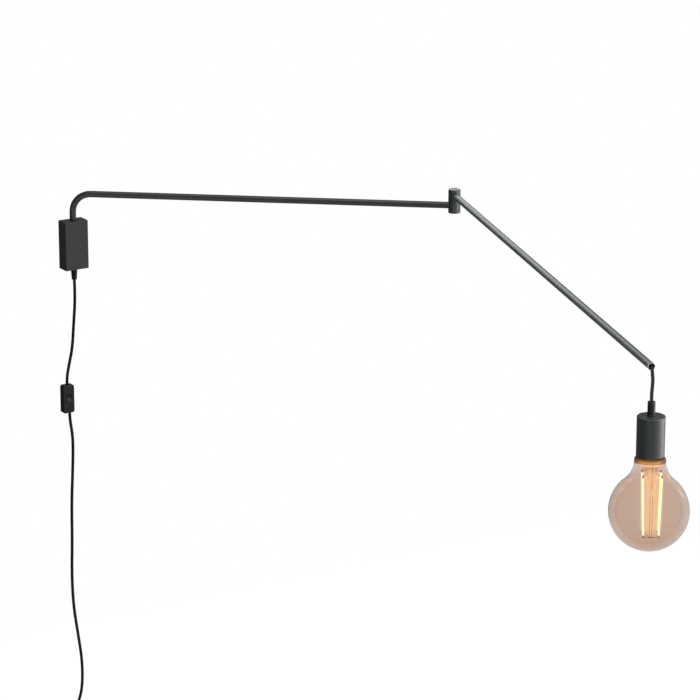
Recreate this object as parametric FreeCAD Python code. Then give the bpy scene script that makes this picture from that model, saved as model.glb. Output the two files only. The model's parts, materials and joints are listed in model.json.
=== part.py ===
"""Articulating wall lamp: a wall box, two swing arms and a hanging globe lamp.

Frame: origin in the middle of the wall face, +X right along the wall,
+Y into the wall, +Z up. Millimetres. The arms are modelled in their rest pose.
"""
import FreeCAD
import Part
import math
import os

V = FreeCAD.Vector
X_AXIS = V(1, 0, 0)
Y_AXIS = V(0, 1, 0)
Z_AXIS = V(0, 0, 1)

# ---------------------------------------------------------------- driving sizes
# Wall box
box_width = 47.0
box_depth = 28.0
box_height = 91.0
cover_wall = 1.5
cover_corner_radius = 0.9
cover_wall_gap = 0.4            # rim of the cover to the wall
cover_fit = 0.6                 # bracket inside the cover, each side

# Wall bracket
plate_thickness = 3.0
lug_width = 20.0
upper_lug_thickness = 8.0
lower_lug_thickness = 6.0
lower_lug_top = 6.0
lug_nose = 10.0                 # lug beyond the pivot axis
wall_hole_radius = 2.25
wall_hole_spacing_x = 31.0
wall_hole_spacing_z = 52.0
wall_hole_centre_z = -4.0

# Tubes and swing
tube_radius = 6.0
tube_wall = 1.0
bend_radius = 34.0
arm_one_rise = 50.3             # arm axis above the box
arm_one_length = 702.0          # pivot axis to elbow axis
arm_one_angle = 39.5            # out from the wall, degrees
arm_two_length = 1100.0         # elbow axis to open end
arm_two_angle = 108.2           # out from the wall, degrees
riser_tail = 9.5                # tube below the lower lug's underside

# Pivot in the box
bush_wall = 1.2
bush_clearance = 0.05           # riser in its bushes, on radius
bush_stand_out = 0.4
washer_thickness = 1.0
collar_radius = 10.4
collar_height = 8.0
collar_gap = 0.3
grub_radius = 2.0

# Elbow
elbow_radius = 11.0
elbow_wall = 1.8
elbow_top_above_arm_one = 30.2
elbow_cavity_gap = 0.2          # tube's underside to the cavity floor
nut_cap_gap = 0.2               # nut to the bottom cap
arm_two_above_arm_one = 18.5
elbow_seam = 8.0                # top of the lower cup above arm one
elbow_washer_thickness = 0.4
elbow_top_thickness = 7.0
elbow_edge_bevel = 0.9
elbow_web = 1.8
bottom_cap_radius = 8.5
bottom_cap_thickness = 1.4
lip_depth = 3.2
lip_clearance = 0.08
lip_inner_radius = 7.5
stop_lug_height = 1.5
stop_swing = 165.0              # elbow turns this far each way, degrees
dowel_radius = 0.75
dowel_circle = 8.35
ledge_thickness = 1.5
screw_radius = 2.5
screw_clearance = 0.05
screw_head_radius = 4.3
screw_head_height = 2.9
screw_recess_radius = 4.9
screw_recess_depth = 3.8
hex_key_size = 4.0
hex_key_depth = 1.8
head_washer_thickness = 0.5
nut_across_flats = 8.0
nut_height = 3.8

# Wires and cord
cord_diameter = 5.6
wire_radius = 1.1
wire_offset = 1.6
wire_turn_radius = 3.5
wire_elbow_radius = 5.2         # wire distance from the elbow axis
joint_gap = 0.3                 # free gap between moving ends
anchor_length = 12.0
anchor_setback = 10.0           # anchor behind the open end

# Pendant cord
cord_bend_radius = 6.0
cord_tube_gap = 0.3             # cord to the tube's floor at the mouth
cord_lip_setback = 1.5
cord_bend_shown = 58.0          # degrees of the bend that stay with the tube
swing_split = 22.1              # second pendant pivot below the first

# Cord grip and lampholder
holder_drop = 77.0              # holder top below the axis of arm two
holder_radius = 22.0
holder_height = 62.8
holder_wall = 1.2
holder_top_wall = 1.5
grip_height = 23.3
grip_radius = 6.1
grip_base_radius = 6.9
grip_base_height = 2.4
nipple_radius = 5.0
nipple_bore = 3.3
nipple_up = 8.0
nipple_nut_radius = 8.0
nipple_nut_height = 3.0
socket_radius = 18.5
socket_bottom_recess = 5.5
socket_height = 48.0
socket_top_wall = 6.0
shell_radius = 14.2
shell_wall = 0.5
shell_height = 23.5
partition_thickness = 4.0

# Bulb
globe_radius = 62.5
globe_drop = 89.5               # globe centre below the holder's rim
glass_wall = 0.9
neck_radius = 24.3
neck_level = 82.0               # widest part of the neck above the globe centre
shoulder_radius = 6.0
cap_radius = 13.1
cap_thread_depth = 0.9
cap_thread_pitch = 3.6
cap_threads = 5
cap_height = 25.0
cap_skirt = 3.0
cap_top_gap = 0.4
filament_radius = 0.9
filament_top = 59.0
filament_bottom = -38.0
filament_top_circle = 20.5
filament_bottom_circle = 16.6
filament_turn = 10.4            # heading of the first filament, degrees
glass_mouth = 7.0               # hole in the glass under the cap
stem_wall = 0.8
stem_flare_radius = 14.0
stem_waist_radius = 8.3
stem_waist = 55.0               # above the globe's centre, as the next two
stem_press = 30.0
stem_bottom = 24.0
stem_press_radius = 2.8
stem_offset = V(2.96, -1.87, 0)  # press and filaments beside the globe's axis
lead_offset = V(3.46, -2.19, 0)  # lead wires beside the globe's axis, at the cap
lead_half_spacing = 1.5
leg_half_spacing = 1.8
leg_radius = 0.45
hub_half_width = 0.7
support_gap = 0.3               # support wire's middle to the filament's end

# Mains cord, strain relief and inline switch
gland_length = 21.5
gland_top_radius = 6.2
gland_bottom_radius = 5.0
gland_flange_radius = 8.0
gland_flange_height = 2.0
switch_length = 54.0
switch_width = 23.6
switch_depth = 13.4
switch_split = 0.2
switch_wall = 1.8
switch_corner = 4.6
switch_edge = 1.6
switch_centre = V(-20.3, -14.0, -293.5)
switch_low_exit = V(4.0, 0, 0)  # lower cord's end beside the switch's middle
rocker_length = 11.0
rocker_above_middle = 1.8
rocker_width = 9.4
rocker_gap = 0.8
rocker_rise = 2.2
rocker_valley = 0.6
rocker_pressed = 0.1
rocker_drop = 4.0

# Put-away coil and plug
coil_radius = 40.0
coil_pitch = 6.2
coil_layer = 6.4
coil_turns_each_way = 2.5
coil_centre = V(-5.0, -14.0, -986.0)
tie_width = 8.0
tie_thickness = 1.2
tie_clearance = 0.7
plug_top_drop = 46.0            # plug below the coil's centre
plug_width = 35.4
plug_depth = 13.6
plug_body_length = 33.0
plug_neck_length = 16.0
plug_neck_radius = 5.2
pin_radius = 2.0
pin_length = 19.0
pin_spacing = 19.0

# ---------------------------------------------------------------- derived places
tube_bore = tube_radius - tube_wall
cord_radius = cord_diameter / 2
cord_droop_in_mouth = tube_bore - cord_radius - cord_tube_gap
pivot_y = -box_depth / 2
half_height = box_height / 2
arm_one_z = half_height + arm_one_rise
arm_two_z = arm_one_z + arm_two_above_arm_one


def heading(angle):
    """Unit vector along a level arm that stands out from the wall by angle."""
    return V(math.cos(math.radians(angle)), -math.sin(math.radians(angle)), 0)


arm_one = heading(arm_one_angle)
arm_two = heading(arm_two_angle)
side_one = arm_one.cross(Z_AXIS)
side_two = arm_two.cross(Z_AXIS)
pivot = V(0, pivot_y, 0)
elbow = pivot + arm_one * arm_one_length
elbow_cavity = elbow_radius - elbow_wall


# ---------------------------------------------------------------- helpers
parts = {}


def add(name, shape):
    parts[name] = shape


def cylinder(radius, start, axis, length):
    return Part.makeCylinder(radius, length, start, axis)


def through(radius, start, axis, length):
    """Cutting cylinder that stands 1 mm out of both ends."""
    return cylinder(radius, start - axis, axis, length + 2)


def ring(outer, inner, start, axis, length):
    return cylinder(outer, start, axis, length).cut(through(inner, start, axis, length))


def block(x0, x1, y0, y1, z0, z1):
    return Part.makeBox(x1 - x0, y1 - y0, z1 - z0, V(x0, y0, z0))


def rounded_block(x0, x1, y0, y1, z0, z1, radius, axis):
    """Block whose four edges along axis are rounded."""
    shape = block(x0, x1, y0, y1, z0, z1)
    edges = []
    for edge in shape.Edges:
        direction = edge.tangentAt(edge.FirstParameter)
        if abs(direction.dot(axis)) > 0.99:
            edges.append(edge)
    return shape.makeFillet(radius, edges)


def turned(outline, centre):
    """Solid turned about a vertical axis from (radius, height) edges."""
    face = Part.Face(Part.Wire(outline))
    solid = face.revolve(V(0, 0, 0), Z_AXIS, 360)
    solid.translate(centre)
    return solid


def line(r0, z0, r1, z1):
    return Part.LineSegment(V(r0, 0, z0), V(r1, 0, z1)).toShape()


def arc(r0, z0, rm, zm, r1, z1):
    return Part.Arc(V(r0, 0, z0), V(rm, 0, zm), V(r1, 0, z1)).toShape()


def polygon_turned(points, centre):
    edges = []
    for (r0, z0), (r1, z1) in zip(points, points[1:] + points[:1]):
        edges.append(line(r0, z0, r1, z1))
    return turned(edges, centre)


def hexagon(across, start, height):
    radius = across / math.sqrt(3)
    corners = []
    for index in range(7):
        angle = math.radians(60 * index)
        corners.append(start + V(radius * math.cos(angle), radius * math.sin(angle), 0))
    return Part.Face(Part.makePolygon(corners)).extrude(Z_AXIS * height)


def sweep(edges, radius):
    """Round tube along a wire of tangent edges."""
    path = Part.Wire(edges)
    start = edges[0].valueAt(edges[0].FirstParameter)
    direction = edges[0].tangentAt(edges[0].FirstParameter)
    section = Part.Wire([Part.makeCircle(radius, start, direction)])
    return path.makePipeShell([section], True, False)


def rounded_route(points, name, fixed_radius=None):
    """Straight runs joined by tangent arcs that are as large as the runs allow."""
    edges = []
    radii = []
    last = points[0]
    for before, corner, after in zip(points, points[1:], points[2:]):
        run_in = corner - before
        run_out = after - corner
        into = V(run_in).normalize()
        out = V(run_out).normalize()
        turn = math.acos(max(-1.0, min(1.0, into.dot(out))))
        radius = 0.45 * min(run_in.Length, run_out.Length) / math.tan(turn / 2)
        if fixed_radius is not None:
            radius = fixed_radius
        setback = radius * math.tan(turn / 2)
        first = corner - into * setback
        final = corner + out * setback
        to_centre = V(out - into).normalize()
        middle = corner + to_centre * (radius / math.cos(turn / 2) - radius)
        edges.append(Part.LineSegment(last, first).toShape())
        edges.append(Part.Arc(first, middle, final).toShape())
        radii.append(radius)
        last = final
    edges.append(Part.LineSegment(last, points[-1]).toShape())
    length = sum(edge.Length for edge in edges)
    if name:
        print(name, "length %.1f" % length, "radii", ["%.0f" % radius for radius in radii])
    return edges, length


def cord_tube(points, name):
    edges, length = rounded_route(points, name)
    solid = sweep(edges, cord_radius)
    expected = math.pi * cord_radius ** 2 * length
    print(name, "volume ratio %.4f" % (solid.Volume / expected))
    return solid


# ---------------------------------------------------------------- wall unit
inner_half_width = box_width / 2 - cover_wall - cover_fit
inner_half_height = half_height - cover_wall - cover_fit
lug_front = pivot_y - lug_nose
bush_outer = tube_radius + bush_clearance + bush_wall
upper_lug_top = half_height - cover_wall - 0.2
upper_lug_bottom = upper_lug_top - upper_lug_thickness
lower_lug_bottom = lower_lug_top - lower_lug_thickness
riser_bottom = lower_lug_bottom - riser_tail
slot_half_width = bush_outer + 0.2


def build_bracket():
    plate = block(-inner_half_width, inner_half_width, -plate_thickness, 0,
                  -inner_half_height, inner_half_height)
    half_lug = lug_width / 2
    upper = rounded_block(-half_lug, half_lug, lug_front, -plate_thickness + 1,
                          upper_lug_bottom, upper_lug_top, 0.8, Z_AXIS)
    lower = rounded_block(-half_lug, half_lug, lug_front, -plate_thickness + 1,
                          lower_lug_bottom, lower_lug_top, 0.8, Z_AXIS)
    tongue = block(-bush_outer, bush_outer, pivot_y, -cover_wall_gap - 0.2,
                   upper_lug_top - 1, half_height)
    foot = block(-half_lug, half_lug, lug_front, -plate_thickness + 1,
                 -inner_half_height, -inner_half_height + 3)
    foot = foot.cut(cylinder(gland_flange_radius + 0.6, V(0, pivot_y, -half_height), Z_AXIS, 12))
    bracket = plate.fuse([upper, lower, tongue, foot])
    bracket = bracket.cut(cylinder(bush_outer, V(0, pivot_y, riser_bottom), Z_AXIS, box_height))
    for x in (-wall_hole_spacing_x / 2, wall_hole_spacing_x / 2):
        for z in (-wall_hole_spacing_z / 2, wall_hole_spacing_z / 2):
            hole = cylinder(wall_hole_radius, V(x, -plate_thickness - 1, wall_hole_centre_z + z),
                            Y_AXIS, plate_thickness + 2)
            bracket = bracket.cut(hole)
    return bracket


def build_cover():
    half_width = box_width / 2
    outer = rounded_block(-half_width, half_width, -box_depth, -cover_wall_gap,
                          -half_height, half_height, cover_corner_radius, Z_AXIS)
    front = []
    for edge in outer.Edges:
        box = edge.BoundBox
        if box.YMax < -box_depth + 0.01 and box.ZLength < 0.01:
            front.append(edge)
    outer = outer.makeFillet(cover_corner_radius * 0.6, front)
    inner = block(-half_width + cover_wall, half_width - cover_wall,
                  -box_depth + cover_wall, 1,
                  -half_height + cover_wall, half_height - cover_wall)
    cover = outer.cut(inner)
    riser_hole = cylinder(slot_half_width, V(0, pivot_y, half_height - 3), Z_AXIS, 6)
    slot = block(-slot_half_width, slot_half_width, pivot_y, 1, half_height - 3, half_height + 3)
    cord_hole = cylinder(gland_top_radius, V(0, pivot_y, -half_height - 1), Z_AXIS, 6)
    return cover.cut(riser_hole.fuse(slot)).cut(cord_hole)


cover_screw_x = box_width / 2 - 8.5
cover_screw_y = pivot_y
cover_screw_radius = 1.4


def build_cover_screws():
    screws = []
    for x in (-cover_screw_x, cover_screw_x):
        head = polygon_turned([(0, 0), (2.6, 0), (2.6, 0.6), (cover_screw_radius, 1.5),
                               (cover_screw_radius, 8.0), (0, 8.0)],
                              V(x, cover_screw_y, -half_height))
        slot = block(x - 3, x + 3, cover_screw_y - 0.35, cover_screw_y + 0.35,
                     -half_height - 1, -half_height + 0.5)
        screws.append(head.cut(slot))
    return screws


def cut_all(shape, tools):
    for tool in tools:
        shape = shape.cut(tool)
    return shape


# Ears on the bracket's foot take the cover screws.
def build_screw_ears():
    ears = []
    for x in (-cover_screw_x, cover_screw_x):
        ears.append(block(x - 3.5, x + 3.5, cover_screw_y - 3.5, -plate_thickness + 1,
                          -inner_half_height, -inner_half_height + 6.5))
    return ears


cover_screws = build_cover_screws()
add("wall_bracket", cut_all(build_bracket().fuse(build_screw_ears()), cover_screws))
add("cover", cut_all(build_cover(), cover_screws))
add("cover_screws", Part.makeCompound(cover_screws))

bush_inner = tube_radius + bush_clearance
add("upper_bush", ring(bush_outer, bush_inner, V(0, pivot_y, upper_lug_bottom), Z_AXIS,
                       half_height + bush_stand_out - upper_lug_bottom))
add("lower_bush", ring(bush_outer, bush_inner, V(0, pivot_y, lower_lug_bottom), Z_AXIS,
                       lower_lug_thickness))
washer_z = lower_lug_top
add("thrust_washer", ring(collar_radius - 1, bush_inner, V(0, pivot_y, washer_z), Z_AXIS,
                          washer_thickness))

terminal_top = riser_bottom - 4.0
terminal_height = 12.0
terminal_width = 22.0
terminal_depth = 14.0


def build_terminals():
    body = block(-terminal_width / 2, terminal_width / 2, -plate_thickness - terminal_depth,
                 -plate_thickness, terminal_top - terminal_height, terminal_top)
    screws = []
    for x in (-7.0, 0.0, 7.0):
        start = V(x, -plate_thickness - terminal_depth - 0.01, terminal_top - terminal_height / 2)
        screw = cylinder(1.9, start, Y_AXIS, 5.0)
        body = body.cut(screw)
        slot = block(x - 2.5, x + 2.5, start.y - 1, start.y + 0.8,
                     start.z - 0.35, start.z + 0.35)
        screws.append(screw.cut(slot))
    for x in (-7.0, 7.0):
        wire_way = cylinder(wire_radius + 0.3, V(x, pivot_y, terminal_top - 4.0), Z_AXIS, 6)
        body = body.cut(wire_way)
    lead_way = cylinder(cord_radius, V(0, pivot_y, terminal_top - terminal_height - 1), Z_AXIS, 5)
    return body.cut(lead_way), screws


terminal_body, terminal_screws = build_terminals()
terminal_body = cut_all(terminal_body, terminal_screws)
add("terminal_block", terminal_body)
add("terminal_screws", Part.makeCompound(terminal_screws))


def base_wire(side):
    """Wire from its terminal to just below the turning tube."""
    radius = wire_radius * 0.9
    foot = V(side * 7.0, pivot_y, terminal_top - 4.0)
    knee = V(side * 7.0, pivot_y, terminal_top + 1.2)
    neck = V(side * wire_offset, pivot_y, riser_bottom - 2 * joint_gap - 0.6)
    lean = neck - knee
    rise = cylinder(radius, foot, Z_AXIS, knee.z - foot.z)
    slope = cylinder(radius, knee, lean, lean.Length)
    post = cylinder(radius, neck, Z_AXIS, 0.6)
    bends = [Part.makeSphere(radius, knee), Part.makeSphere(radius, neck)]
    return rise.fuse([slope, post] + bends)


add("base_wires", Part.makeCompound([base_wire(-1), base_wire(1)]))

gland_bottom = -half_height - gland_length
flange_foot = -half_height + cover_wall


def build_gland():
    outline = [(cord_radius + 0.1, gland_bottom), (gland_bottom_radius, gland_bottom),
               (gland_top_radius - 0.1, -half_height), (gland_top_radius - 0.1, flange_foot),
               (gland_flange_radius, flange_foot),
               (gland_flange_radius, flange_foot + gland_flange_height),
               (cord_radius + 0.1, flange_foot + gland_flange_height)]
    gland = polygon_turned(outline, V(0, pivot_y, 0))
    groove_count = 4
    for index in range(groove_count):
        z = -half_height - gland_length * (index + 1) / (groove_count + 1)
        groove = ring(gland_top_radius + 1, gland_bottom_radius - 0.5,
                      V(0, pivot_y, z), Z_AXIS, 1.0)
        half = block(0.0, 20, pivot_y - 20, pivot_y + 20, z - 1, z + 2)
        gland = gland.cut(groove.common(half)) if index % 2 else gland.cut(groove.cut(half))
    return gland


add("cord_gland", build_gland())
lead_top = terminal_top - terminal_height + 3.0
add("mains_lead_inside", cylinder(cord_radius, V(0, pivot_y, gland_bottom), Z_AXIS,
                                  lead_top - gland_bottom))

saddle_top = terminal_top - terminal_height - 0.6
saddle_bottom = saddle_top - 5.0


def build_saddle():
    body = rounded_block(-9.0, 9.0, pivot_y - 5.5, -plate_thickness, saddle_bottom, saddle_top,
                         1.0, Z_AXIS)
    body = body.cut(cylinder(cord_radius, V(0, pivot_y, saddle_bottom - 1), Z_AXIS, 8))
    screws = []
    for x in (-6.2, 6.2):
        start = V(x, pivot_y - 5.51, (saddle_top + saddle_bottom) / 2)
        head = cylinder(1.9, start, Y_AXIS, 1.6)
        shank = cylinder(1.1, start, Y_AXIS, 18.0)
        slot = block(x - 2.5, x + 2.5, start.y - 1, start.y + 0.7,
                     start.z - 0.3, start.z + 0.3)
        screw = head.fuse(shank)
        body = body.cut(screw)
        screws.append(screw.cut(slot))
    return body, screws


saddle_body, saddle_screws = build_saddle()
add("cord_saddle", saddle_body)
add("saddle_screws", Part.makeCompound(saddle_screws))
parts["wall_bracket"] = cut_all(parts["wall_bracket"], saddle_screws)

# ---------------------------------------------------------------- first arm
elbow_one = elbow + V(0, 0, arm_one_z)
elbow_two = elbow + V(0, 0, arm_two_z)


def arm_one_route(offset, start_z, end_distance):
    """Riser, bend and level run, moved sideways by offset."""
    shift = side_one * offset
    foot = pivot + V(0, 0, start_z) + shift
    corner = pivot + V(0, 0, arm_one_z) + shift
    end = corner + arm_one * end_distance
    return [foot, corner, end]


def build_arm_one():
    route = arm_one_route(0, riser_bottom, arm_one_length)
    edges, length = rounded_route(route, "arm_one_tube", bend_radius)
    outer = sweep(edges, tube_radius)
    inner_route = arm_one_route(0, riser_bottom - 5, arm_one_length + 5)
    inner_edges, length = rounded_route(inner_route, "", bend_radius)
    tube = outer.cut(sweep(inner_edges, tube_bore))
    cavity = cylinder(elbow_cavity, elbow_one - V(0, 0, 30), Z_AXIS, 60)
    return tube.cut(cavity), outer


arm_one_tube, arm_one_solid = build_arm_one()
add("arm_one_tube", arm_one_tube)


def build_collar(bottom, grub_direction):
    collar = ring(collar_radius, tube_radius, V(0, pivot_y, bottom), Z_AXIS, collar_height)
    start = V(0, pivot_y, bottom + collar_height / 2) + grub_direction * tube_radius
    grub = cylinder(grub_radius, start, grub_direction, collar_radius - tube_radius - 0.6)
    grub = grub.cut(cylinder(tube_radius, V(0, pivot_y, bottom), Z_AXIS, collar_height))
    way = cylinder(grub_radius, start, grub_direction, collar_radius)
    way = way.cut(cylinder(tube_radius, V(0, pivot_y, bottom), Z_AXIS, collar_height))
    return collar.cut(way), grub


upper_collar, upper_grub = build_collar(washer_z + washer_thickness, arm_one)
lower_collar, lower_grub = build_collar(lower_lug_bottom - collar_gap - collar_height, arm_one)
add("thrust_collar", upper_collar)
add("retaining_collar", lower_collar)
add("collar_screws", Part.makeCompound([upper_grub, lower_grub]))


def arm_one_wire(side):
    shift = side_one * (wire_offset * side)
    reach = arm_one_length - wire_elbow_radius
    points = arm_one_route(wire_offset * side, riser_bottom + 1, reach)
    top = pivot + arm_one * reach + shift + V(0, 0, arm_one_z + elbow_seam - joint_gap)
    corner_edges, length = rounded_route(points[:2] + [points[2] - arm_one * 10], "", bend_radius)
    last = points[2] - arm_one * 10
    bend_start = points[2] - arm_one * wire_turn_radius
    bend_end = points[2] + V(0, 0, wire_turn_radius)
    half = wire_turn_radius * (1 - math.sqrt(0.5))
    middle = points[2] - arm_one * half + V(0, 0, half)
    corner_edges.append(Part.LineSegment(last, bend_start).toShape())
    corner_edges.append(Part.Arc(bend_start, middle, bend_end).toShape())
    corner_edges.append(Part.LineSegment(bend_end, top).toShape())
    return sweep(corner_edges, wire_radius)


add("arm_one_wires", Part.makeCompound([arm_one_wire(-1), arm_one_wire(1)]))

# ---------------------------------------------------------------- elbow
lower_top = arm_one_z + elbow_seam
cavity_floor = arm_one_z - tube_radius - elbow_cavity_gap
pocket_top = cavity_floor - elbow_web
lower_foot = pocket_top - nut_height - nut_cap_gap - bottom_cap_thickness
upper_foot = lower_top + elbow_washer_thickness
upper_top = arm_one_z + elbow_top_above_arm_one
cavity_ceiling = upper_top - elbow_top_thickness
lip_foot = upper_foot - lip_depth
ledge_top = lip_foot - 0.25
dowel_top = lip_foot + stop_lug_height - 0.3


def at_elbow(z):
    return V(elbow.x, elbow.y, z)


def beveled_drum(bottom, top, bevel_bottom, bevel_top):
    points = [(0, bottom), (elbow_radius - bevel_bottom, bottom),
              (elbow_radius, bottom + bevel_bottom), (elbow_radius, top - bevel_top),
              (elbow_radius - bevel_top, top), (0, top)]
    clean = [points[0]]
    for point in points[1:]:
        if abs(point[0] - clean[-1][0]) + abs(point[1] - clean[-1][1]) > 1e-6:
            clean.append(point)
    return polygon_turned(clean, V(elbow.x, elbow.y, 0))


def build_knuckle_lower():
    drum = beveled_drum(lower_foot, lower_top, 0.6, 0.0)
    drum = drum.cut(cylinder(elbow_cavity, at_elbow(cavity_floor), Z_AXIS, 60))
    ledge = ring(elbow_cavity + 0.5, lip_inner_radius, at_elbow(ledge_top - ledge_thickness),
                 Z_AXIS, ledge_thickness)
    drum = drum.fuse(ledge)
    drum = drum.cut(hexagon(nut_across_flats, at_elbow(lower_foot - 1), pocket_top - lower_foot + 1))
    drum = drum.cut(cylinder(bottom_cap_radius, at_elbow(lower_foot - 1), Z_AXIS,
                             bottom_cap_thickness + 1))
    drum = drum.cut(cylinder(screw_radius, at_elbow(lower_foot), Z_AXIS, 20))
    entry = cylinder(tube_radius, elbow_one - arm_one * (elbow_radius + 4), arm_one,
                     elbow_radius + 4)
    entry = entry.cut(cylinder(elbow_cavity, elbow_one - V(0, 0, 20), Z_AXIS, 40))
    drum = drum.cut(entry)
    drum = drum.cut(build_dowel())
    return drum


def build_dowel():
    start = at_elbow(ledge_top - ledge_thickness) - arm_one * dowel_circle
    return cylinder(dowel_radius, start, Z_AXIS, dowel_top - ledge_top + ledge_thickness)


add("knuckle_lower", build_knuckle_lower())
add("stop_dowel", build_dowel())
add("elbow_washer", ring(elbow_radius - 0.3, elbow_cavity, at_elbow(lower_top), Z_AXIS,
                         elbow_washer_thickness - 0.05))
add("bottom_cap", cylinder(bottom_cap_radius, at_elbow(lower_foot), Z_AXIS, bottom_cap_thickness))

recess_floor = upper_top - screw_recess_depth
head_foot = recess_floor + head_washer_thickness
screw_foot = pocket_top - nut_height + 0.4


def build_pivot_screw():
    shank = cylinder(screw_radius, at_elbow(screw_foot), Z_AXIS, head_foot - screw_foot)
    head = polygon_turned([(0, head_foot), (screw_head_radius, head_foot),
                           (screw_head_radius, head_foot + screw_head_height - 0.5),
                           (screw_head_radius - 0.5, head_foot + screw_head_height),
                           (0, head_foot + screw_head_height)], V(elbow.x, elbow.y, 0))
    key = hexagon(hex_key_size, at_elbow(head_foot + screw_head_height - hex_key_depth),
                  hex_key_depth + 1)
    return shank.fuse(head).cut(key)


add("pivot_screw", build_pivot_screw())
add("screw_washer", ring(screw_head_radius, screw_radius, at_elbow(recess_floor + 0.02),
                         Z_AXIS, head_washer_thickness - 0.02))
nut = hexagon(nut_across_flats - 0.1, at_elbow(pocket_top - nut_height), nut_height)
add("lock_nut", nut.cut(cylinder(screw_radius, at_elbow(lower_foot), Z_AXIS, 30)))


def build_knuckle_upper():
    drum = beveled_drum(upper_foot, upper_top, 0.0, elbow_edge_bevel)
    lip_radius = elbow_cavity - lip_clearance
    lip_full = lip_foot + stop_lug_height
    lip = cylinder(lip_radius, at_elbow(lip_full), Z_AXIS, upper_foot - lip_full + 0.5)
    drum = drum.fuse(lip)
    dowel_half = math.degrees(math.asin(dowel_radius / dowel_circle))
    lug_half = 180 - stop_swing - dowel_half - 0.15
    lug = Part.makeCylinder(lip_radius, stop_lug_height + 0.2, at_elbow(lip_foot), Z_AXIS,
                            2 * lug_half)
    lug.rotate(at_elbow(0), Z_AXIS, -arm_two_angle - lug_half)
    drum = drum.fuse(lug)
    drum = drum.cut(cylinder(lip_inner_radius, at_elbow(lip_foot - 1), Z_AXIS,
                             upper_foot + 1 - lip_foot))
    drum = drum.cut(cylinder(elbow_cavity, at_elbow(upper_foot + 0.8), Z_AXIS,
                             cavity_ceiling - upper_foot - 0.8))
    drum = drum.cut(cylinder(lip_inner_radius, at_elbow(upper_foot - 1), Z_AXIS, 3))
    drum = drum.cut(cylinder(screw_recess_radius, at_elbow(recess_floor), Z_AXIS, 10))
    drum = drum.cut(cylinder(screw_radius + screw_clearance, at_elbow(cavity_ceiling - 1),
                             Z_AXIS, 10))
    entry = cylinder(tube_radius, elbow_two, arm_two, elbow_radius + 4)
    entry = entry.cut(cylinder(elbow_cavity, elbow_two - V(0, 0, 20), Z_AXIS, 40))
    return drum.cut(entry)


add("knuckle_upper", build_knuckle_upper())

# ---------------------------------------------------------------- second arm
arm_two_tip = elbow_two + arm_two * arm_two_length
arm_two_tube = ring(tube_radius, tube_bore, elbow_two, arm_two, arm_two_length)
arm_two_tube = arm_two_tube.cut(cylinder(elbow_cavity, elbow_two - V(0, 0, 20), Z_AXIS, 40))
add("arm_two_tube", arm_two_tube)

anchor_end = arm_two_length - anchor_setback
anchor_start = anchor_end - anchor_length
anchor = cylinder(tube_bore, elbow_two + arm_two * anchor_start, arm_two, anchor_length)
cord_axis = elbow_two - V(0, 0, cord_droop_in_mouth)
inside_cord_start = anchor_start - 18.0
anchor = anchor.cut(through(cord_radius, cord_axis + arm_two * anchor_start, arm_two,
                            anchor_length))
add("cord_anchor", anchor)


def arm_two_wire(side):
    shift = side_two * (wire_offset * side)
    base = elbow_two + arm_two * wire_elbow_radius + shift
    bottom = V(base.x, base.y, upper_foot + joint_gap)
    bend_start = base - V(0, 0, wire_turn_radius)
    bend_end = base + arm_two * wire_turn_radius
    half = wire_turn_radius * (1 - math.sqrt(0.5))
    middle = base + arm_two * half - V(0, 0, half)
    end = elbow_two + arm_two * inside_cord_start + shift
    edges = [Part.LineSegment(bottom, bend_start).toShape(),
             Part.Arc(bend_start, middle, bend_end).toShape(),
             Part.LineSegment(bend_end, end).toShape()]
    return sweep(edges, wire_radius)


add("arm_two_wires", Part.makeCompound([arm_two_wire(-1), arm_two_wire(1)]))

# The pendant cord runs in the tube, bends over the open end and hangs.
bend_centre = arm_two_tip - arm_two * cord_lip_setback - V(0, 0, cord_droop_in_mouth + cord_bend_radius)
swing_pivot = bend_centre + arm_two * cord_bend_radius


def bend_point(angle):
    """Point on the cord's bend; 0 is where it leaves the level run, 90 hangs down."""
    turn = math.radians(angle)
    return bend_centre + arm_two * (cord_bend_radius * math.sin(turn)) \
        + V(0, 0, cord_bend_radius * math.cos(turn))


def build_inside_cord():
    start = cord_axis + arm_two * inside_cord_start
    run = Part.LineSegment(start, bend_point(0)).toShape()
    bend = Part.Arc(bend_point(0), bend_point(cord_bend_shown / 2),
                    bend_point(cord_bend_shown)).toShape()
    return sweep([run, bend], cord_radius)


add("pendant_cord_inside", build_inside_cord())

# ---------------------------------------------------------------- pendant
second_pivot = swing_pivot - V(0, 0, swing_split)
holder_top = arm_two_z - holder_drop
holder_bottom = holder_top - holder_height
grip_top = holder_top + grip_height
hang = V(swing_pivot.x, swing_pivot.y, 0)


def at_hang(z):
    return V(hang.x, hang.y, z)


def ball_topped_cord(top, bottom):
    """Cord stretch whose upper end is a ball round its pivot."""
    stretch = cylinder(cord_radius, at_hang(bottom), Z_AXIS, top - bottom)
    return stretch.fuse(Part.makeSphere(cord_radius, at_hang(top)))


link_bottom = second_pivot.z + cord_radius + joint_gap
add("pendant_cord_upper", ball_topped_cord(swing_pivot.z, link_bottom))
cord_foot = holder_top - nipple_up - 2.0
add("pendant_cord_lower", ball_topped_cord(second_pivot.z, cord_foot))


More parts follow.
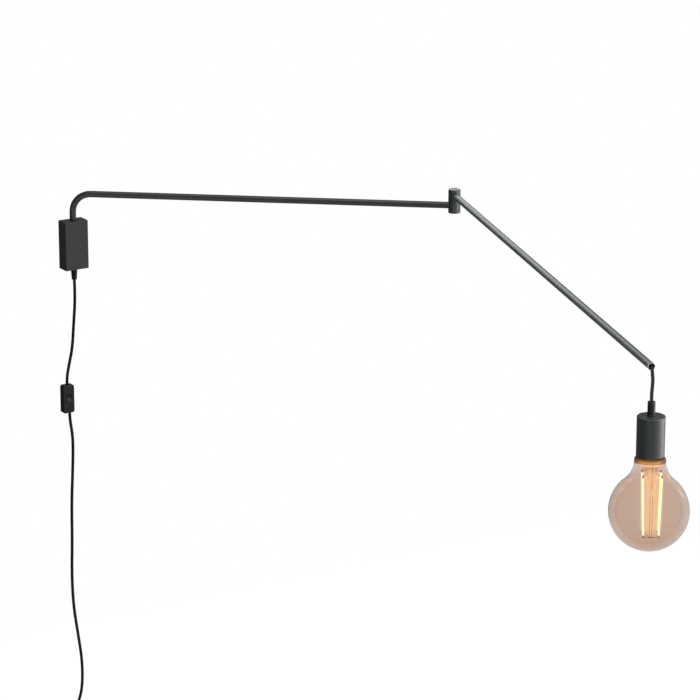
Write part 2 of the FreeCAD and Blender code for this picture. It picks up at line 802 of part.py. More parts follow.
def build_grip():
    shoulder = 1.6
    base_top = holder_top + grip_base_height
    outline = [line(cord_radius + 0.1, holder_top, grip_base_radius, holder_top),
               line(grip_base_radius, holder_top, grip_base_radius, base_top - 0.6),
               line(grip_base_radius, base_top - 0.6, grip_base_radius - 0.6, base_top),
               line(grip_base_radius - 0.6, base_top, grip_radius, base_top),
               line(grip_radius, base_top, grip_radius, grip_top - shoulder),
               arc(grip_radius, grip_top - shoulder,
                   grip_radius - shoulder * (1 - math.sqrt(0.5)),
                   grip_top - shoulder * (1 - math.sqrt(0.5)),
                   grip_radius - shoulder, grip_top),
               line(grip_radius - shoulder, grip_top, cord_radius + 0.1, grip_top),
               line(cord_radius + 0.1, grip_top, cord_radius + 0.1, holder_top)]
    grip = turned(outline, hang)
    thread_way = cylinder(nipple_radius, at_hang(holder_top - 1), Z_AXIS, nipple_up + 1)
    return grip.cut(thread_way)


grip_screw_heading = heading(20.0)
grip_screw_z = holder_top + 15.5
grip_screw_start = at_hang(grip_screw_z) + grip_screw_heading * (cord_radius + 0.1)
grip_screw = cylinder(1.9, grip_screw_start, grip_screw_heading, grip_radius - cord_radius - 0.5)
screw_slot = Part.makeBox(0.8, 0.7, 8, V(-0.4, -0.35, -4))
screw_slot.rotate(V(0, 0, 0), Z_AXIS, -20.0)
screw_slot.translate(at_hang(grip_screw_z) + grip_screw_heading * (grip_radius - 0.4))
grip = build_grip()
grip = grip.cut(cylinder(1.9, grip_screw_start, grip_screw_heading, grip_radius))
add("cord_grip", grip)
add("grip_screw", grip_screw.cut(screw_slot))


def build_holder():
    inner = holder_radius - holder_wall
    edge = 1.3
    part_edge = edge * (1 - math.sqrt(0.5))
    outline = [line(inner, holder_bottom, holder_radius, holder_bottom),
               line(holder_radius, holder_bottom, holder_radius, holder_top - edge),
               arc(holder_radius, holder_top - edge, holder_radius - part_edge,
                   holder_top - part_edge, holder_radius - edge, holder_top),
               line(holder_radius - edge, holder_top, nipple_radius + 0.1, holder_top),
               line(nipple_radius + 0.1, holder_top, nipple_radius + 0.1,
                    holder_top - holder_top_wall),
               line(nipple_radius + 0.1, holder_top - holder_top_wall, inner,
                    holder_top - holder_top_wall),
               line(inner, holder_top - holder_top_wall, inner, holder_bottom)]
    return turned(outline, hang)


add("holder_cup", build_holder())

socket_bottom = holder_bottom + socket_bottom_recess
socket_top = socket_bottom + socket_height
nipple_foot = socket_top - socket_top_wall - 1.5
add("nipple", ring(nipple_radius, nipple_bore, at_hang(nipple_foot), Z_AXIS,
                   holder_top + nipple_up - nipple_foot))
nut_top = holder_top - holder_top_wall
nipple_nut = hexagon(nipple_nut_radius * 1.8, at_hang(nut_top - nipple_nut_height),
                     nipple_nut_height)
add("nipple_nut", nipple_nut.cut(cylinder(nipple_radius, at_hang(nipple_foot), Z_AXIS, 60)))
spacer_top = nut_top - nipple_nut_height
shell_top = socket_bottom + shell_height
chamber_floor = shell_top + partition_thickness
chamber_top = socket_top - socket_top_wall


def build_socket():
    body = cylinder(socket_radius, at_hang(socket_bottom), Z_AXIS, socket_height)
    body = body.cut(cylinder(shell_radius, at_hang(socket_bottom - 1), Z_AXIS, shell_height + 1))
    body = body.cut(cylinder(socket_radius - 4.5, at_hang(chamber_floor), Z_AXIS,
                             chamber_top - chamber_floor))
    body = body.cut(cylinder(nipple_radius, at_hang(chamber_top - 1), Z_AXIS, 20))
    return body


contact_width = 6.0
contact_base = shell_top - 0.6
globe_centre = at_hang(holder_bottom - globe_drop)
cap_foot = globe_centre.z + neck_level + shoulder_radius
contact_tip = cap_foot + cap_height + cap_top_gap


def build_contact():
    base = block(-contact_width / 2, contact_width / 2, -8, 4, contact_base, shell_top)
    tongue = block(-contact_width / 2, contact_width / 2, -8, -7.4, contact_tip, shell_top)
    finger = block(-contact_width / 2, contact_width / 2, -8, 2.5, contact_tip,
                   contact_tip + 0.6)
    contact = base.fuse([tongue, finger])
    contact.translate(hang)
    return contact


socket_body = build_socket()
terminal_pins = []
for x in (-8.0, 8.0):
    pin = cylinder(2.0, at_hang(chamber_floor - 2.5) + V(x, 0, 0), Z_AXIS, 8.0)
    head_slot = block(x - 3, x + 3, -0.4, 0.4, chamber_floor + 4.7, chamber_floor + 9)
    head_slot.translate(hang)
    terminal_pins.append(pin.cut(head_slot))
    socket_body = socket_body.cut(pin)
add("socket_body", socket_body)


def holder_wire(side):
    """Wire from the cord's end down to its terminal."""
    landing = chamber_floor + 5.5
    points = [at_hang(cord_foot) + V(side * 1.5, 0, 0),
              at_hang(landing + 7.0) + V(side * 1.5, 0, 0),
              at_hang(landing + 4.0) + V(side * 8.0, 0, 0),
              at_hang(landing) + V(side * 8.0, 0, 0)]
    edges, length = rounded_route(points, "")
    return sweep(edges, wire_radius * 0.8)


add("holder_wires", Part.makeCompound([holder_wire(-1), holder_wire(1)]))
add("socket_terminals", Part.makeCompound(terminal_pins))
add("socket_shell", ring(shell_radius, shell_radius - shell_wall, at_hang(socket_bottom),
                         Z_AXIS, shell_height - 1.2))
add("socket_contact", build_contact())


# ---------------------------------------------------------------- bulb
def flare_radius():
    """Radius of the hollow curve between the neck and the globe."""
    top = neck_level ** 2 + neck_radius ** 2 - globe_radius ** 2
    return top / (2 * (globe_radius - neck_radius))


def glass_outline(offset):
    """Edges of the glass profile from the bottom pole up to the cap, moved inwards."""
    globe = globe_radius - offset
    flare = flare_radius() + offset
    neck = neck_radius - offset
    shoulder = shoulder_radius - offset
    centre_r = neck_radius + flare_radius()
    reach = math.hypot(centre_r, neck_level)
    tangent_r = globe * centre_r / reach
    tangent_z = globe * neck_level / reach
    globe_angle = math.atan2(tangent_z, tangent_r)
    middle_angle = (globe_angle - math.pi / 2) / 2
    flare_end = math.atan2(tangent_z - neck_level, tangent_r - centre_r)
    if flare_end < 0:
        flare_end += 2 * math.pi
    flare_middle = (flare_end + math.pi) / 2
    shoulder_r = neck_radius - shoulder_radius
    middle = math.sqrt(0.5)
    return [
        arc(0, -globe, globe * math.cos(middle_angle), globe * math.sin(middle_angle),
            tangent_r, tangent_z),
        arc(tangent_r, tangent_z, centre_r + flare * math.cos(flare_middle),
            neck_level + flare * math.sin(flare_middle), neck, neck_level),
        arc(neck, neck_level, shoulder_r + shoulder * middle, neck_level + shoulder * middle,
            shoulder_r, neck_level + shoulder),
    ], shoulder_r, neck_level + shoulder


def build_glass():
    outer, outer_r, outer_z = glass_outline(0)
    inner, inner_r, inner_z = glass_outline(glass_wall)
    mouth = glass_mouth
    edges = outer + [line(outer_r, outer_z, mouth, outer_z), line(mouth, outer_z, mouth, inner_z),
                     line(mouth, inner_z, inner_r, inner_z)] + inner
    edges.append(line(0, -globe_radius + glass_wall, 0, -globe_radius))
    return turned(Part.__sortEdges__(edges), globe_centre)


add("bulb_glass", build_glass())


def build_cap():
    root = cap_radius - cap_thread_depth
    foot = cap_foot
    edges = [line(0, foot, root, foot), line(root, foot, root, foot + cap_skirt)]
    z = foot + cap_skirt
    for index in range(cap_threads):
        edges.append(arc(root, z, cap_radius, z + cap_thread_pitch / 2, root, z + cap_thread_pitch))
        z += cap_thread_pitch
    top = foot + cap_height - 1.0
    edges.append(line(root, z, 6.0, top))
    edges.append(line(6.0, top, 0, top))
    edges.append(line(0, top, 0, foot))
    return turned(edges, hang)


cap = build_cap()
cap = cap.cut(cylinder(glass_mouth + 0.2, at_hang(cap_foot - 1), Z_AXIS, 12))
add("bulb_cap", cap)
add("bulb_contact", cylinder(4.4, at_hang(cap_foot + cap_height - 1.0), Z_AXIS, 1.0))


stem_top = neck_level + shoulder_radius
flare_top = stem_top - 1.0


def stem_axis(height):
    """Middle of the stem, which leans from the globe's axis to the press."""
    lean = (flare_top - height) / (flare_top - stem_press)
    return stem_offset * lean + V(0, 0, height)


def stem_outer_radius(height):
    """Radius of the flare between its waist and its top."""
    climb = (height - stem_waist) / (flare_top - stem_waist)
    return stem_waist_radius + (stem_flare_radius - stem_waist_radius) * climb


def stem_loft(levels):
    circles = []
    for radius, height in levels:
        circles.append(Part.Wire([Part.makeCircle(radius, stem_axis(height), Z_AXIS)]))
    return Part.makeLoft(circles, True, True)


def build_stem():
    """Glass stem: a leaning hollow flare under the cap, closed by a press."""
    outer = stem_loft([(stem_flare_radius, flare_top), (stem_waist_radius, stem_waist),
                       (stem_press_radius, stem_press)])
    inner = stem_loft([(stem_flare_radius - stem_wall, flare_top - stem_wall),
                       (stem_waist_radius - stem_wall, stem_waist),
                       (stem_press_radius - stem_wall, stem_press + 4)])
    press = cylinder(stem_press_radius, stem_offset + V(0, 0, stem_bottom),
                     Z_AXIS, stem_press - stem_bottom)
    neck = cylinder(glass_mouth - 0.1, V(0, 0, flare_top - stem_wall), Z_AXIS,
                    stem_top - flare_top + stem_wall)
    bore = cylinder(glass_mouth - 0.1 - stem_wall, V(0, 0, flare_top - 2 * stem_wall), Z_AXIS, 4)
    return outer.cut(inner).fuse([press, neck]).cut(bore)


def in_globe(shape):
    """Moves a shape made round the origin to the middle of the globe."""
    shape.translate(globe_centre)
    return shape


stem = build_stem()
filament_count = 4


def filament_place(index):
    angle = math.radians(filament_turn + 360 / filament_count * index)
    return V(math.cos(angle), math.sin(angle), 0)


def wire_between(start, end, radius):
    run = end - start
    return cylinder(radius, start, run, run.Length)


filaments = []
upper_wires = []
lower_wires = []
cluster = V(stem_offset)
hub_bottom = cluster + V(0, 0, filament_bottom - 6)
wire_landing = filament_top + 3.0
across = V(stem_offset).normalize()
for index in range(filament_count):
    out = filament_place(index)
    top = cluster + out * filament_top_circle + V(0, 0, filament_top)
    bottom = cluster + out * filament_bottom_circle + V(0, 0, filament_bottom)
    filaments.append(wire_between(top, bottom, filament_radius))
    step = (bottom - top).normalize()
    lower_wires.append(wire_between(bottom + step * support_gap, hub_bottom, 0.3))
    landing = stem_axis(wire_landing) + out * (stem_outer_radius(wire_landing) - stem_wall / 2)
    upper_wires.append(wire_between(top - step * support_gap, landing, 0.3))
hub_half_length = leg_half_spacing + 0.9
hub = block(-hub_half_length, hub_half_length, -hub_half_width, hub_half_width, -0.5, 0.5)
hub.rotate(V(0, 0, 0), Z_AXIS, math.degrees(math.atan2(across.y, across.x)))
hub.translate(hub_bottom)
legs = []
for side in (-1, 1):
    foot = hub_bottom + across * (leg_half_spacing * side)
    legs.append(wire_between(foot, V(foot.x, foot.y, stem_bottom + 2), leg_radius))
leads = []
for side in (-1, 1):
    shift = across.cross(Z_AXIS) * (lead_half_spacing * side)
    lead_foot = cluster + shift * 0.4 + V(0, 0, stem_press + 2)
    leads.append(wire_between(lead_foot, lead_offset + shift + V(0, 0, stem_top + 8), 0.3))
lower_frame = hub.fuse(legs + lower_wires)
frames = [wire.cut(stem) for wire in [lower_frame] + upper_wires + leads]
add("bulb_stem", in_globe(stem))
add("bulb_filaments", in_globe(Part.makeCompound(filaments)))
add("filament_supports", in_globe(Part.makeCompound(frames)))


# ---------------------------------------------------------------- inline switch
def place_switch(shape):
    shape.translate(switch_centre)
    return shape


switch_top_end = switch_centre + V(0, 0, switch_length / 2)
switch_low_end = switch_centre - V(0, 0, switch_length / 2) + switch_low_exit


def switch_body():
    half_w = switch_width / 2
    half_d = switch_depth / 2
    half_l = switch_length / 2
    body = rounded_block(-half_w, half_w, -half_d, half_d, -half_l, half_l, switch_corner, Y_AXIS)
    rim = []
    for edge in body.Edges:
        box = edge.BoundBox
        if box.YLength < 0.01:
            rim.append(edge)
    return body.makeFillet(switch_edge, rim)


def build_switch():
    body = switch_body()
    half_w = switch_width / 2 - switch_wall
    half_d = switch_depth / 2 - switch_wall
    half_l = switch_length / 2 - switch_wall
    hollow = rounded_block(-half_w, half_w, -half_d, half_d, -half_l + 8, half_l - 8,
                           switch_corner - switch_wall, Y_AXIS)
    shell = body.cut(hollow)
    way = block(-rocker_width / 2 - rocker_gap, rocker_width / 2 + rocker_gap,
                -switch_depth / 2 - 1, -switch_depth / 2 + 4,
                rocker_above_middle - rocker_length / 2 - rocker_gap,
                rocker_above_middle + rocker_length / 2 + rocker_gap)
    shell = shell.cut(way)
    big = 200
    front_space = block(-big, big, -big, -switch_split / 2, -big, big)
    back_space = block(-big, big, switch_split / 2, big, -big, big)
    return shell.common(front_space), shell.common(back_space)


def build_switch_screws():
    screws = []
    for x, z in ((-switch_width / 2 + 5.5, switch_length / 2 - 5.5),
                 (switch_width / 2 - 5.5, -switch_length / 2 + 5.5)):
        start = V(x, switch_depth / 2 - 0.6, z)
        head = cylinder(2.2, start, V(0, -1, 0), 1.8)
        shank = cylinder(1.2, start, V(0, -1, 0), 11.0)
        slot = block(x - 3, x + 3, start.y - 0.6, start.y + 1, z - 0.3, z + 0.3)
        recess = cylinder(2.2, V(x, switch_depth / 2 - 0.7, z), Y_AXIS, 2)
        screws.append((head.fuse(shank), slot, recess))
    return screws


def build_rocker():
    """Rocker with a shallow V face; the pressed end is the upper one."""
    half_l = rocker_length / 2
    face = -switch_depth / 2
    points = [V(0, face - rocker_rise, -half_l + 0.2), V(0, face + rocker_valley, 0),
              V(0, face - rocker_pressed, half_l),
              V(0, face + rocker_drop, half_l - 2.0), V(0, face + rocker_drop, -half_l + 2.0)]
    outline = Part.makePolygon(points + [points[0]])
    rocker = Part.Face(outline).extrude(V(rocker_width, 0, 0))
    rocker.translate(V(-rocker_width / 2, 0, rocker_above_middle))
    return rocker


switch_front, switch_back = build_switch()
switch_screws = []
for solid, slot, recess in build_switch_screws():
    switch_back = switch_back.cut(solid).cut(recess)
    switch_front = switch_front.cut(solid)
    switch_screws.append(solid.cut(slot))
contact_strips = []
contact_outside = switch_width / 2 - switch_wall - 0.2
contact_half_length = switch_length / 2 - switch_wall - 8 - switch_corner
for x in (-contact_outside, contact_outside - 1.0):
    contact_strips.append(block(x, x + 1.0, -1.5, switch_depth / 2 - switch_wall,
                                -contact_half_length, contact_half_length))
add("switch_front", place_switch(switch_front))
add("switch_back", place_switch(switch_back))
add("switch_screws", place_switch(Part.makeCompound(switch_screws)))
add("switch_contacts", place_switch(Part.makeCompound(contact_strips)))
add("switch_rocker", place_switch(build_rocker()))

# ---------------------------------------------------------------- mains cord
cord_y = pivot_y
upper_route = [
    V(0, cord_y, gland_bottom), V(0.9, cord_y, -104), V(-3.6, cord_y, -152),
    V(-7.4, cord_y, -198), V(-15.2, cord_y, -229), switch_top_end + V(0, 0, 14), switch_top_end,
]
lower_route = [
    switch_low_end, switch_low_end - V(0, 0, 14), V(-10.2, cord_y, -372),
    V(-12.4, cord_y, -432), V(-16.6, cord_y, -500), V(-17.2, cord_y, -574),
    V(-19.8, cord_y, -640), V(-18.0, cord_y, -704), V(-9.2, cord_y, -766),
    V(-1.6, cord_y, -822), V(-3.2, cord_y, -880), V(-18, cord_y, -914),
    V(-37, cord_y, -938), V(coil_centre.x - coil_radius, cord_y, -961),
    coil_centre + V(-coil_radius, 0, cord_diameter),
]
add("mains_cord_upper", cord_tube(upper_route, "mains_cord_upper"))
add("mains_cord_lower", cord_tube(lower_route, "mains_cord_lower"))


# ---------------------------------------------------------------- put-away coil
def coil_point(turns):
    """Centre of the coiled cord after a number of turns, from its left side."""
    inward = min(turns, 2 * coil_turns_each_way - turns)
    radius = coil_radius - coil_pitch * inward
    climb = min(1.0, max(0.0, (turns - coil_turns_each_way + 0.25) / 0.5))
    depth = coil_layer * (1 - math.cos(math.pi * climb)) / 2
    angle = math.pi + 2 * math.pi * turns
    return coil_centre + V(radius * math.cos(angle), depth, radius * math.sin(angle))


def coil_tangent(turns):
    if turns <= 0 or turns >= 2 * coil_turns_each_way:
        return V(0, 0, -1)
    step = 0.002
    return (coil_point(turns + step) - coil_point(turns - step)).normalize()


def arc_from(start, tangent, end):
    """Arc that leaves start along tangent and reaches end."""
    chord = end - start
    normal = V(chord) - tangent * chord.dot(tangent)
    if normal.Length < 1e-7:
        return Part.LineSegment(start, end).toShape()
    normal.normalize()
    radius = chord.dot(chord) / (2 * chord.dot(normal))
    centre = start + normal * radius
    middle = ((start + end) / 2 - centre).normalize() * radius + centre
    return Part.Arc(start, middle, end).toShape()


def biarc(start, start_tangent, end, end_tangent):
    chord = end - start
    total = start_tangent + end_tangent
    spread = 2 * (1 - start_tangent.dot(end_tangent))
    along = chord.dot(total)
    if spread < 1e-9:
        reach = chord.dot(chord) / (2 * along)
    else:
        reach = (-along + math.sqrt(along ** 2 + spread * chord.dot(chord))) / spread
    joint = (start + start_tangent * reach + end - end_tangent * reach) / 2
    first = arc_from(start, start_tangent, joint)
    joint_tangent = first.tangentAt(first.LastParameter)
    return [first, arc_from(joint, joint_tangent, end)]


def build_coil():
    steps_per_turn = 4
    count = int(round(2 * coil_turns_each_way * steps_per_turn))
    start = coil_point(0)
    lead_in = start + V(0, 0, cord_diameter)
    edges = [Part.LineSegment(lead_in, start).toShape()]
    for index in range(count):
        t0 = index / steps_per_turn
        t1 = (index + 1) / steps_per_turn
        edges += biarc(coil_point(t0), coil_tangent(t0), coil_point(t1), coil_tangent(t1))
    end = coil_point(count / steps_per_turn)
    edges.append(Part.LineSegment(end, end - V(0, 0, cord_diameter)).toShape())
    length = sum(edge.Length for edge in edges)
    coil = sweep(edges, cord_radius)
    expected = math.pi * cord_radius ** 2 * length
    print("mains_cord_coil length %.1f volume ratio %.4f" % (length, coil.Volume / expected))
    samples = []
    travelled = 0.0
    for edge in edges:
        pieces = 12
        for number in range(pieces):
            share = number / pieces
            at = edge.FirstParameter + (edge.LastParameter - edge.FirstParameter) * share
            samples.append((travelled + edge.Length * share, edge.valueAt(at)))
        travelled += edge.Length
    least = 1e9
    for i, (si, pi) in enumerate(samples):
        for sj, pj in samples[i + 1:]:
            if sj - si > 4 * cord_diameter:
                least = min(least, (pj - pi).Length)
    print("mains_cord_coil least gap to itself %.2f" % (least - cord_diameter))
    return coil, end - V(0, 0, cord_diameter)


coil, coil_end = build_coil()
add("mains_cord_coil", coil)


def build_tie():
    inner_low = coil_radius - coil_pitch * (coil_turns_each_way - 0.25) - cord_radius - tie_clearance
    inner_high = coil_radius - coil_pitch * 0.25 + cord_radius + tie_clearance
    y_low = coil_centre.y - cord_radius - tie_clearance / 2
    y_high = coil_centre.y + coil_layer + cord_radius + tie_clearance / 2
    z_low = coil_centre.z + inner_low
    z_high = coil_centre.z + inner_high
    x_low = coil_centre.x - tie_width / 2
    x_high = coil_centre.x + tie_width / 2
    outer = rounded_block(x_low, x_high, y_low - tie_thickness, y_high + tie_thickness,
                          z_low - tie_thickness, z_high + tie_thickness, 3.0, X_AXIS)
    inner = rounded_block(x_low - 1, x_high + 1, y_low, y_high, z_low, z_high,
                          3.0 - tie_thickness, X_AXIS)
    return outer.cut(inner)


add("coil_tie", build_tie())

# ---------------------------------------------------------------- plug
plug_top = coil_centre.z - plug_top_drop
plug_at = V(coil_end.x, coil_end.y, 0)
add("mains_cord_tail", cylinder(cord_radius, V(plug_at.x, plug_at.y, plug_top), Z_AXIS,
                                coil_end.z - plug_top))


def build_plug():
    body_top = plug_top - plug_neck_length
    body_bottom = body_top - plug_body_length
    half_w = plug_width / 2
    half_d = plug_depth / 2
    shoulder = 9.0
    waist = body_top - plug_body_length * 0.5
    outline = [V(-shoulder, 0, body_top), V(shoulder, 0, body_top),
               V(half_w - 3.0, 0, waist), V(half_w, 0, body_bottom), V(-half_w, 0, body_bottom),
               V(-half_w + 3.0, 0, waist)]
    face = Part.Face(Part.makePolygon(outline + [outline[0]]))
    body = face.extrude(V(0, plug_depth, 0))
    body.translate(V(0, -half_d, 0))
    long_edges = []
    for edge in body.Edges:
        if edge.BoundBox.YLength < 0.01 and edge.BoundBox.ZMax > body_bottom + 0.5:
            long_edges.append(edge)
    body = body.makeFillet(1.8, long_edges)
    neck = Part.makeCone(plug_neck_radius + 1.0, plug_neck_radius - 0.6, plug_neck_length + 1.5,
                         V(0, 0, body_top - 1.5), Z_AXIS)
    body = body.fuse(neck)
    body.translate(plug_at)
    pins = []
    for side in (-1, 1):
        pin_top = V(plug_at.x + side * pin_spacing / 2, plug_at.y, body_bottom)
        pin = cylinder(pin_radius, pin_top - V(0, 0, pin_length - pin_radius), Z_AXIS,
                       pin_length - pin_radius + 6.0)
        tip = Part.makeSphere(pin_radius, pin_top - V(0, 0, pin_length - pin_radius))
        pin = pin.fuse(tip)
        body = body.cut(pin)
        pins.append(pin)
    return body, pins


plug_body, plug_pins = build_plug()
add("plug_body", plug_body)
add("plug_pins", Part.makeCompound(plug_pins))

# ---------------------------------------------------------------- files
os.makedirs("parts", exist_ok=True)
for name, shape in parts.items():
    if not shape.isValid():
        print("invalid", name)
    shape.exportStep(os.path.join("parts", name + ".step"))
print("nodes", len(parts))
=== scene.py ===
"""Visual model of the articulating wall lamp, in metres, in the CAD model's frame."""

import json
import math

import bmesh
import bpy
from mathutils import Matrix, Vector

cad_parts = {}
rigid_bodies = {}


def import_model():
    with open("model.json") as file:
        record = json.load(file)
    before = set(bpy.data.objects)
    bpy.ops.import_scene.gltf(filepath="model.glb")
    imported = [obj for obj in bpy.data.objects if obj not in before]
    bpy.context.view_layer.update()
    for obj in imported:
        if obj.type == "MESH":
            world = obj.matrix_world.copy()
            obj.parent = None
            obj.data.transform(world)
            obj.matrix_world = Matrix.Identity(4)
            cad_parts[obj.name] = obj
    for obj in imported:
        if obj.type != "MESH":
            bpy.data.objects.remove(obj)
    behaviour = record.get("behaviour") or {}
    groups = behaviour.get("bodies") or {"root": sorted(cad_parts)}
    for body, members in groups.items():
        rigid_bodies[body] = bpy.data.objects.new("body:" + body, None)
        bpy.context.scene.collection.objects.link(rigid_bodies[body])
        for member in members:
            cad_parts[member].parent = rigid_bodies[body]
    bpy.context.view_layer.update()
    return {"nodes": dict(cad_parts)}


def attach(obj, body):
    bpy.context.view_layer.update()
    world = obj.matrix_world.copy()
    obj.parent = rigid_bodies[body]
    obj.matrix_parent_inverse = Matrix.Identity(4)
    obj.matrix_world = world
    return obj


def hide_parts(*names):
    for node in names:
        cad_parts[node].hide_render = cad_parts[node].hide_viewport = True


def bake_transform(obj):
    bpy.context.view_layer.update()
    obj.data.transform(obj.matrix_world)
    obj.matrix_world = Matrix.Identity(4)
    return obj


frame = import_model()

MM = 0.001
ORIGIN = Vector((0, 0, 0))
Z_UP = Vector((0, 0, 1))

# ---------------------------------------------------------------- sizes from the CAD model
pivot_y = -14 * MM
box_half_height = 45.5 * MM
arm_two_z = 114.3 * MM
arm_one_length = 702 * MM
arm_two_length = 1100 * MM
arm_one_angle = math.radians(39.5)
arm_two_angle = math.radians(108.2)
tube_radius = 6.0 * MM
tube_bore = 4.92 * MM
cord_diameter = 5.6 * MM
holder_top = 37.3 * MM
holder_height = 62.8 * MM
globe_radius = 62.5 * MM
globe_drop = 89.5 * MM  # from the lampholder's lower rim to the globe's middle
lip_bend_radius = 6.0 * MM  # the pendant cord's bend over the tube's lower lip
lip_bend_setback = 1.5 * MM
lip_bend_droop = 1.9 * MM


def heading(angle):
    """Level direction at an angle from +X, turned away from the wall."""
    return Vector((math.cos(angle), -math.sin(angle), 0))


arm_one = heading(arm_one_angle)
arm_two = heading(arm_two_angle)
elbow = Vector((0, pivot_y, 0)) + arm_one * arm_one_length
in_tube_z = arm_two_z - lip_bend_droop
bend_centre = (
    elbow
    + arm_two * (arm_two_length - lip_bend_setback)
    + Z_UP * (in_tube_z - lip_bend_radius)
)
swing_pivot = bend_centre + arm_two * lip_bend_radius
hang = Vector((swing_pivot.x, swing_pivot.y, 0))
globe_centre = Vector((hang.x, hang.y, holder_top - holder_height - globe_drop))


def over_globe_middle(millimetres):
    """Height in the frame of a level above the globe's middle."""
    return globe_centre.z + millimetres * MM


# ---------------------------------------------------------------- shader helpers
NOISE_SPAN = (0.3, 0.7)  # nearly all of a noise texture's values
COLOUR_DRIFT = 0.12  # scale of the drift in colour, as a share of the grain's
GLOSS_DRIFT = 0.2  # the same for roughness
GLASS_IOR = 1.34  # less than in solid glass, for fainter reflections
GLASS_MIRROR_TINT = (0.68, 0.60, 0.54, 1.0)


def feed(tree, socket, value):
    """Gives an input a fixed value, or links it to an output."""
    if isinstance(value, bpy.types.NodeSocket):
        tree.links.new(value, socket)
    else:
        socket.default_value = value


def calculated(tree, operation, first, second):
    """Result of one maths node; its two values are numbers or outputs."""
    node = tree.nodes.new("ShaderNodeMath")
    node.operation = operation
    feed(tree, node.inputs[0], first)
    feed(tree, node.inputs[1], second)
    return node.outputs[0]


def stretched(tree, source, from_range, to_range=(0.0, 1.0)):
    """Maps one range of an output's values to another, and holds both ends."""
    span = tree.nodes.new("ShaderNodeMapRange")
    ends = ("From Min", "From Max", "To Min", "To Max")
    for end, value in zip(ends, (*from_range, *to_range)):
        span.inputs[end].default_value = value
    tree.links.new(source, span.inputs["Value"])
    return span.outputs["Result"]


def ramp_of(tree, source, stops):
    """Colour ramp fed by an output; stops are (position, colour)."""
    ramp = tree.nodes.new("ShaderNodeValToRGB")
    elements = ramp.color_ramp.elements
    while len(elements) < len(stops):
        elements.new(0.5)
    for element, (position, colour) in zip(elements, stops):
        element.position = position
        element.color = (*colour, 1.0)
    tree.links.new(source, ramp.inputs["Fac"])
    return ramp.outputs["Color"]


def multiplied(tree, share, colour, tint):
    """Colour that is multiplied by a tint as far as the share says."""
    mix = tree.nodes.new("ShaderNodeMix")
    mix.data_type = "RGBA"
    mix.blend_type = "MULTIPLY"
    for socket, value in (("Factor", share), ("A", colour), ("B", tint)):
        feed(tree, mix.inputs[socket], value)
    return mix.outputs["Result"]


def mixed(tree, share, first, second):
    """Mix of two shaders: the first at a share of 0, the second at 1."""
    mix = tree.nodes.new("ShaderNodeMixShader")
    tree.links.new(share, mix.inputs["Fac"])
    tree.links.new(first, mix.inputs[1])
    tree.links.new(second, mix.inputs[2])
    return mix.outputs[0]


def facing(tree, blend=0.5):
    """0 where a surface faces the eye and 1 at its outline."""
    weight = tree.nodes.new("ShaderNodeLayerWeight")
    weight.inputs["Blend"].default_value = blend
    return weight.outputs["Facing"]


def height_share(tree, low, high):
    """0 at the height low and 1 at high, both in metres in the frame at rest."""
    place = tree.nodes.new("ShaderNodeTexCoord")
    split = tree.nodes.new("ShaderNodeSeparateXYZ")
    tree.links.new(place.outputs["Object"], split.inputs["Vector"])
    return stretched(tree, split.outputs["Z"], (low, high))


def noise(tree, scale, detail=3.0):
    """Noise that is fixed to its piece."""
    place = tree.nodes.new("ShaderNodeTexCoord")
    texture = tree.nodes.new("ShaderNodeTexNoise")
    texture.inputs["Scale"].default_value = scale
    texture.inputs["Detail"].default_value = detail
    tree.links.new(place.outputs["Object"], texture.inputs["Vector"])
    return texture.outputs["Fac"]


def vary_colour(tree, shader, dark, light, scale):
    """Base colour that drifts between two close colours."""
    stops = list(zip(NOISE_SPAN, (dark, light)))
    tree.links.new(ramp_of(tree, noise(tree, scale), stops), shader.inputs["Base Color"])


def vary_roughness(tree, shader, low, high, scale):
    """Roughness that drifts between two values."""
    drift = stretched(tree, noise(tree, scale), NOISE_SPAN, (low, high))
    tree.links.new(drift, shader.inputs["Roughness"])


def add_bump(tree, shader, scale, strength, depth, detail=2.0):
    """Fine grain that only tilts the surface's shading."""
    bump = tree.nodes.new("ShaderNodeBump")
    bump.inputs["Strength"].default_value = strength
    bump.inputs["Distance"].default_value = depth
    tree.links.new(noise(tree, scale, detail), bump.inputs["Height"])
    tree.links.new(bump.outputs["Normal"], shader.inputs["Normal"])


# ---------------------------------------------------------------- kinds of material
def new_material(name, colour, roughness, metallic=0.0):
    """Principled material; returns the material, its node tree and the shader node."""
    material = bpy.data.materials.new(name)
    material.use_nodes = True
    tree = material.node_tree
    shader = tree.nodes["Principled BSDF"]
    shader.inputs["Base Color"].default_value = (*colour, 1.0)
    shader.inputs["Roughness"].default_value = roughness
    shader.inputs["Metallic"].default_value = metallic
    return material, tree, shader


def bare_material(name):
    """Empty material; returns the material, its node tree and its surface input."""
    material = bpy.data.materials.new(name)
    material.use_nodes = True
    tree = material.node_tree
    tree.nodes.clear()
    return material, tree, tree.nodes.new("ShaderNodeOutputMaterial").inputs["Surface"]


def textured(name, dark, light, roughness, grain, bump, depth, metallic=0.0, specular=0.5):
    """Surface with a slight drift in colour and gloss and a fine grain."""
    material, tree, shader = new_material(name, light, roughness[0], metallic)
    shader.inputs["Specular IOR Level"].default_value = specular
    vary_colour(tree, shader, dark, light, grain * COLOUR_DRIFT)
    vary_roughness(tree, shader, *roughness, grain * GLOSS_DRIFT)
    add_bump(tree, shader, grain, bump, depth)
    return material


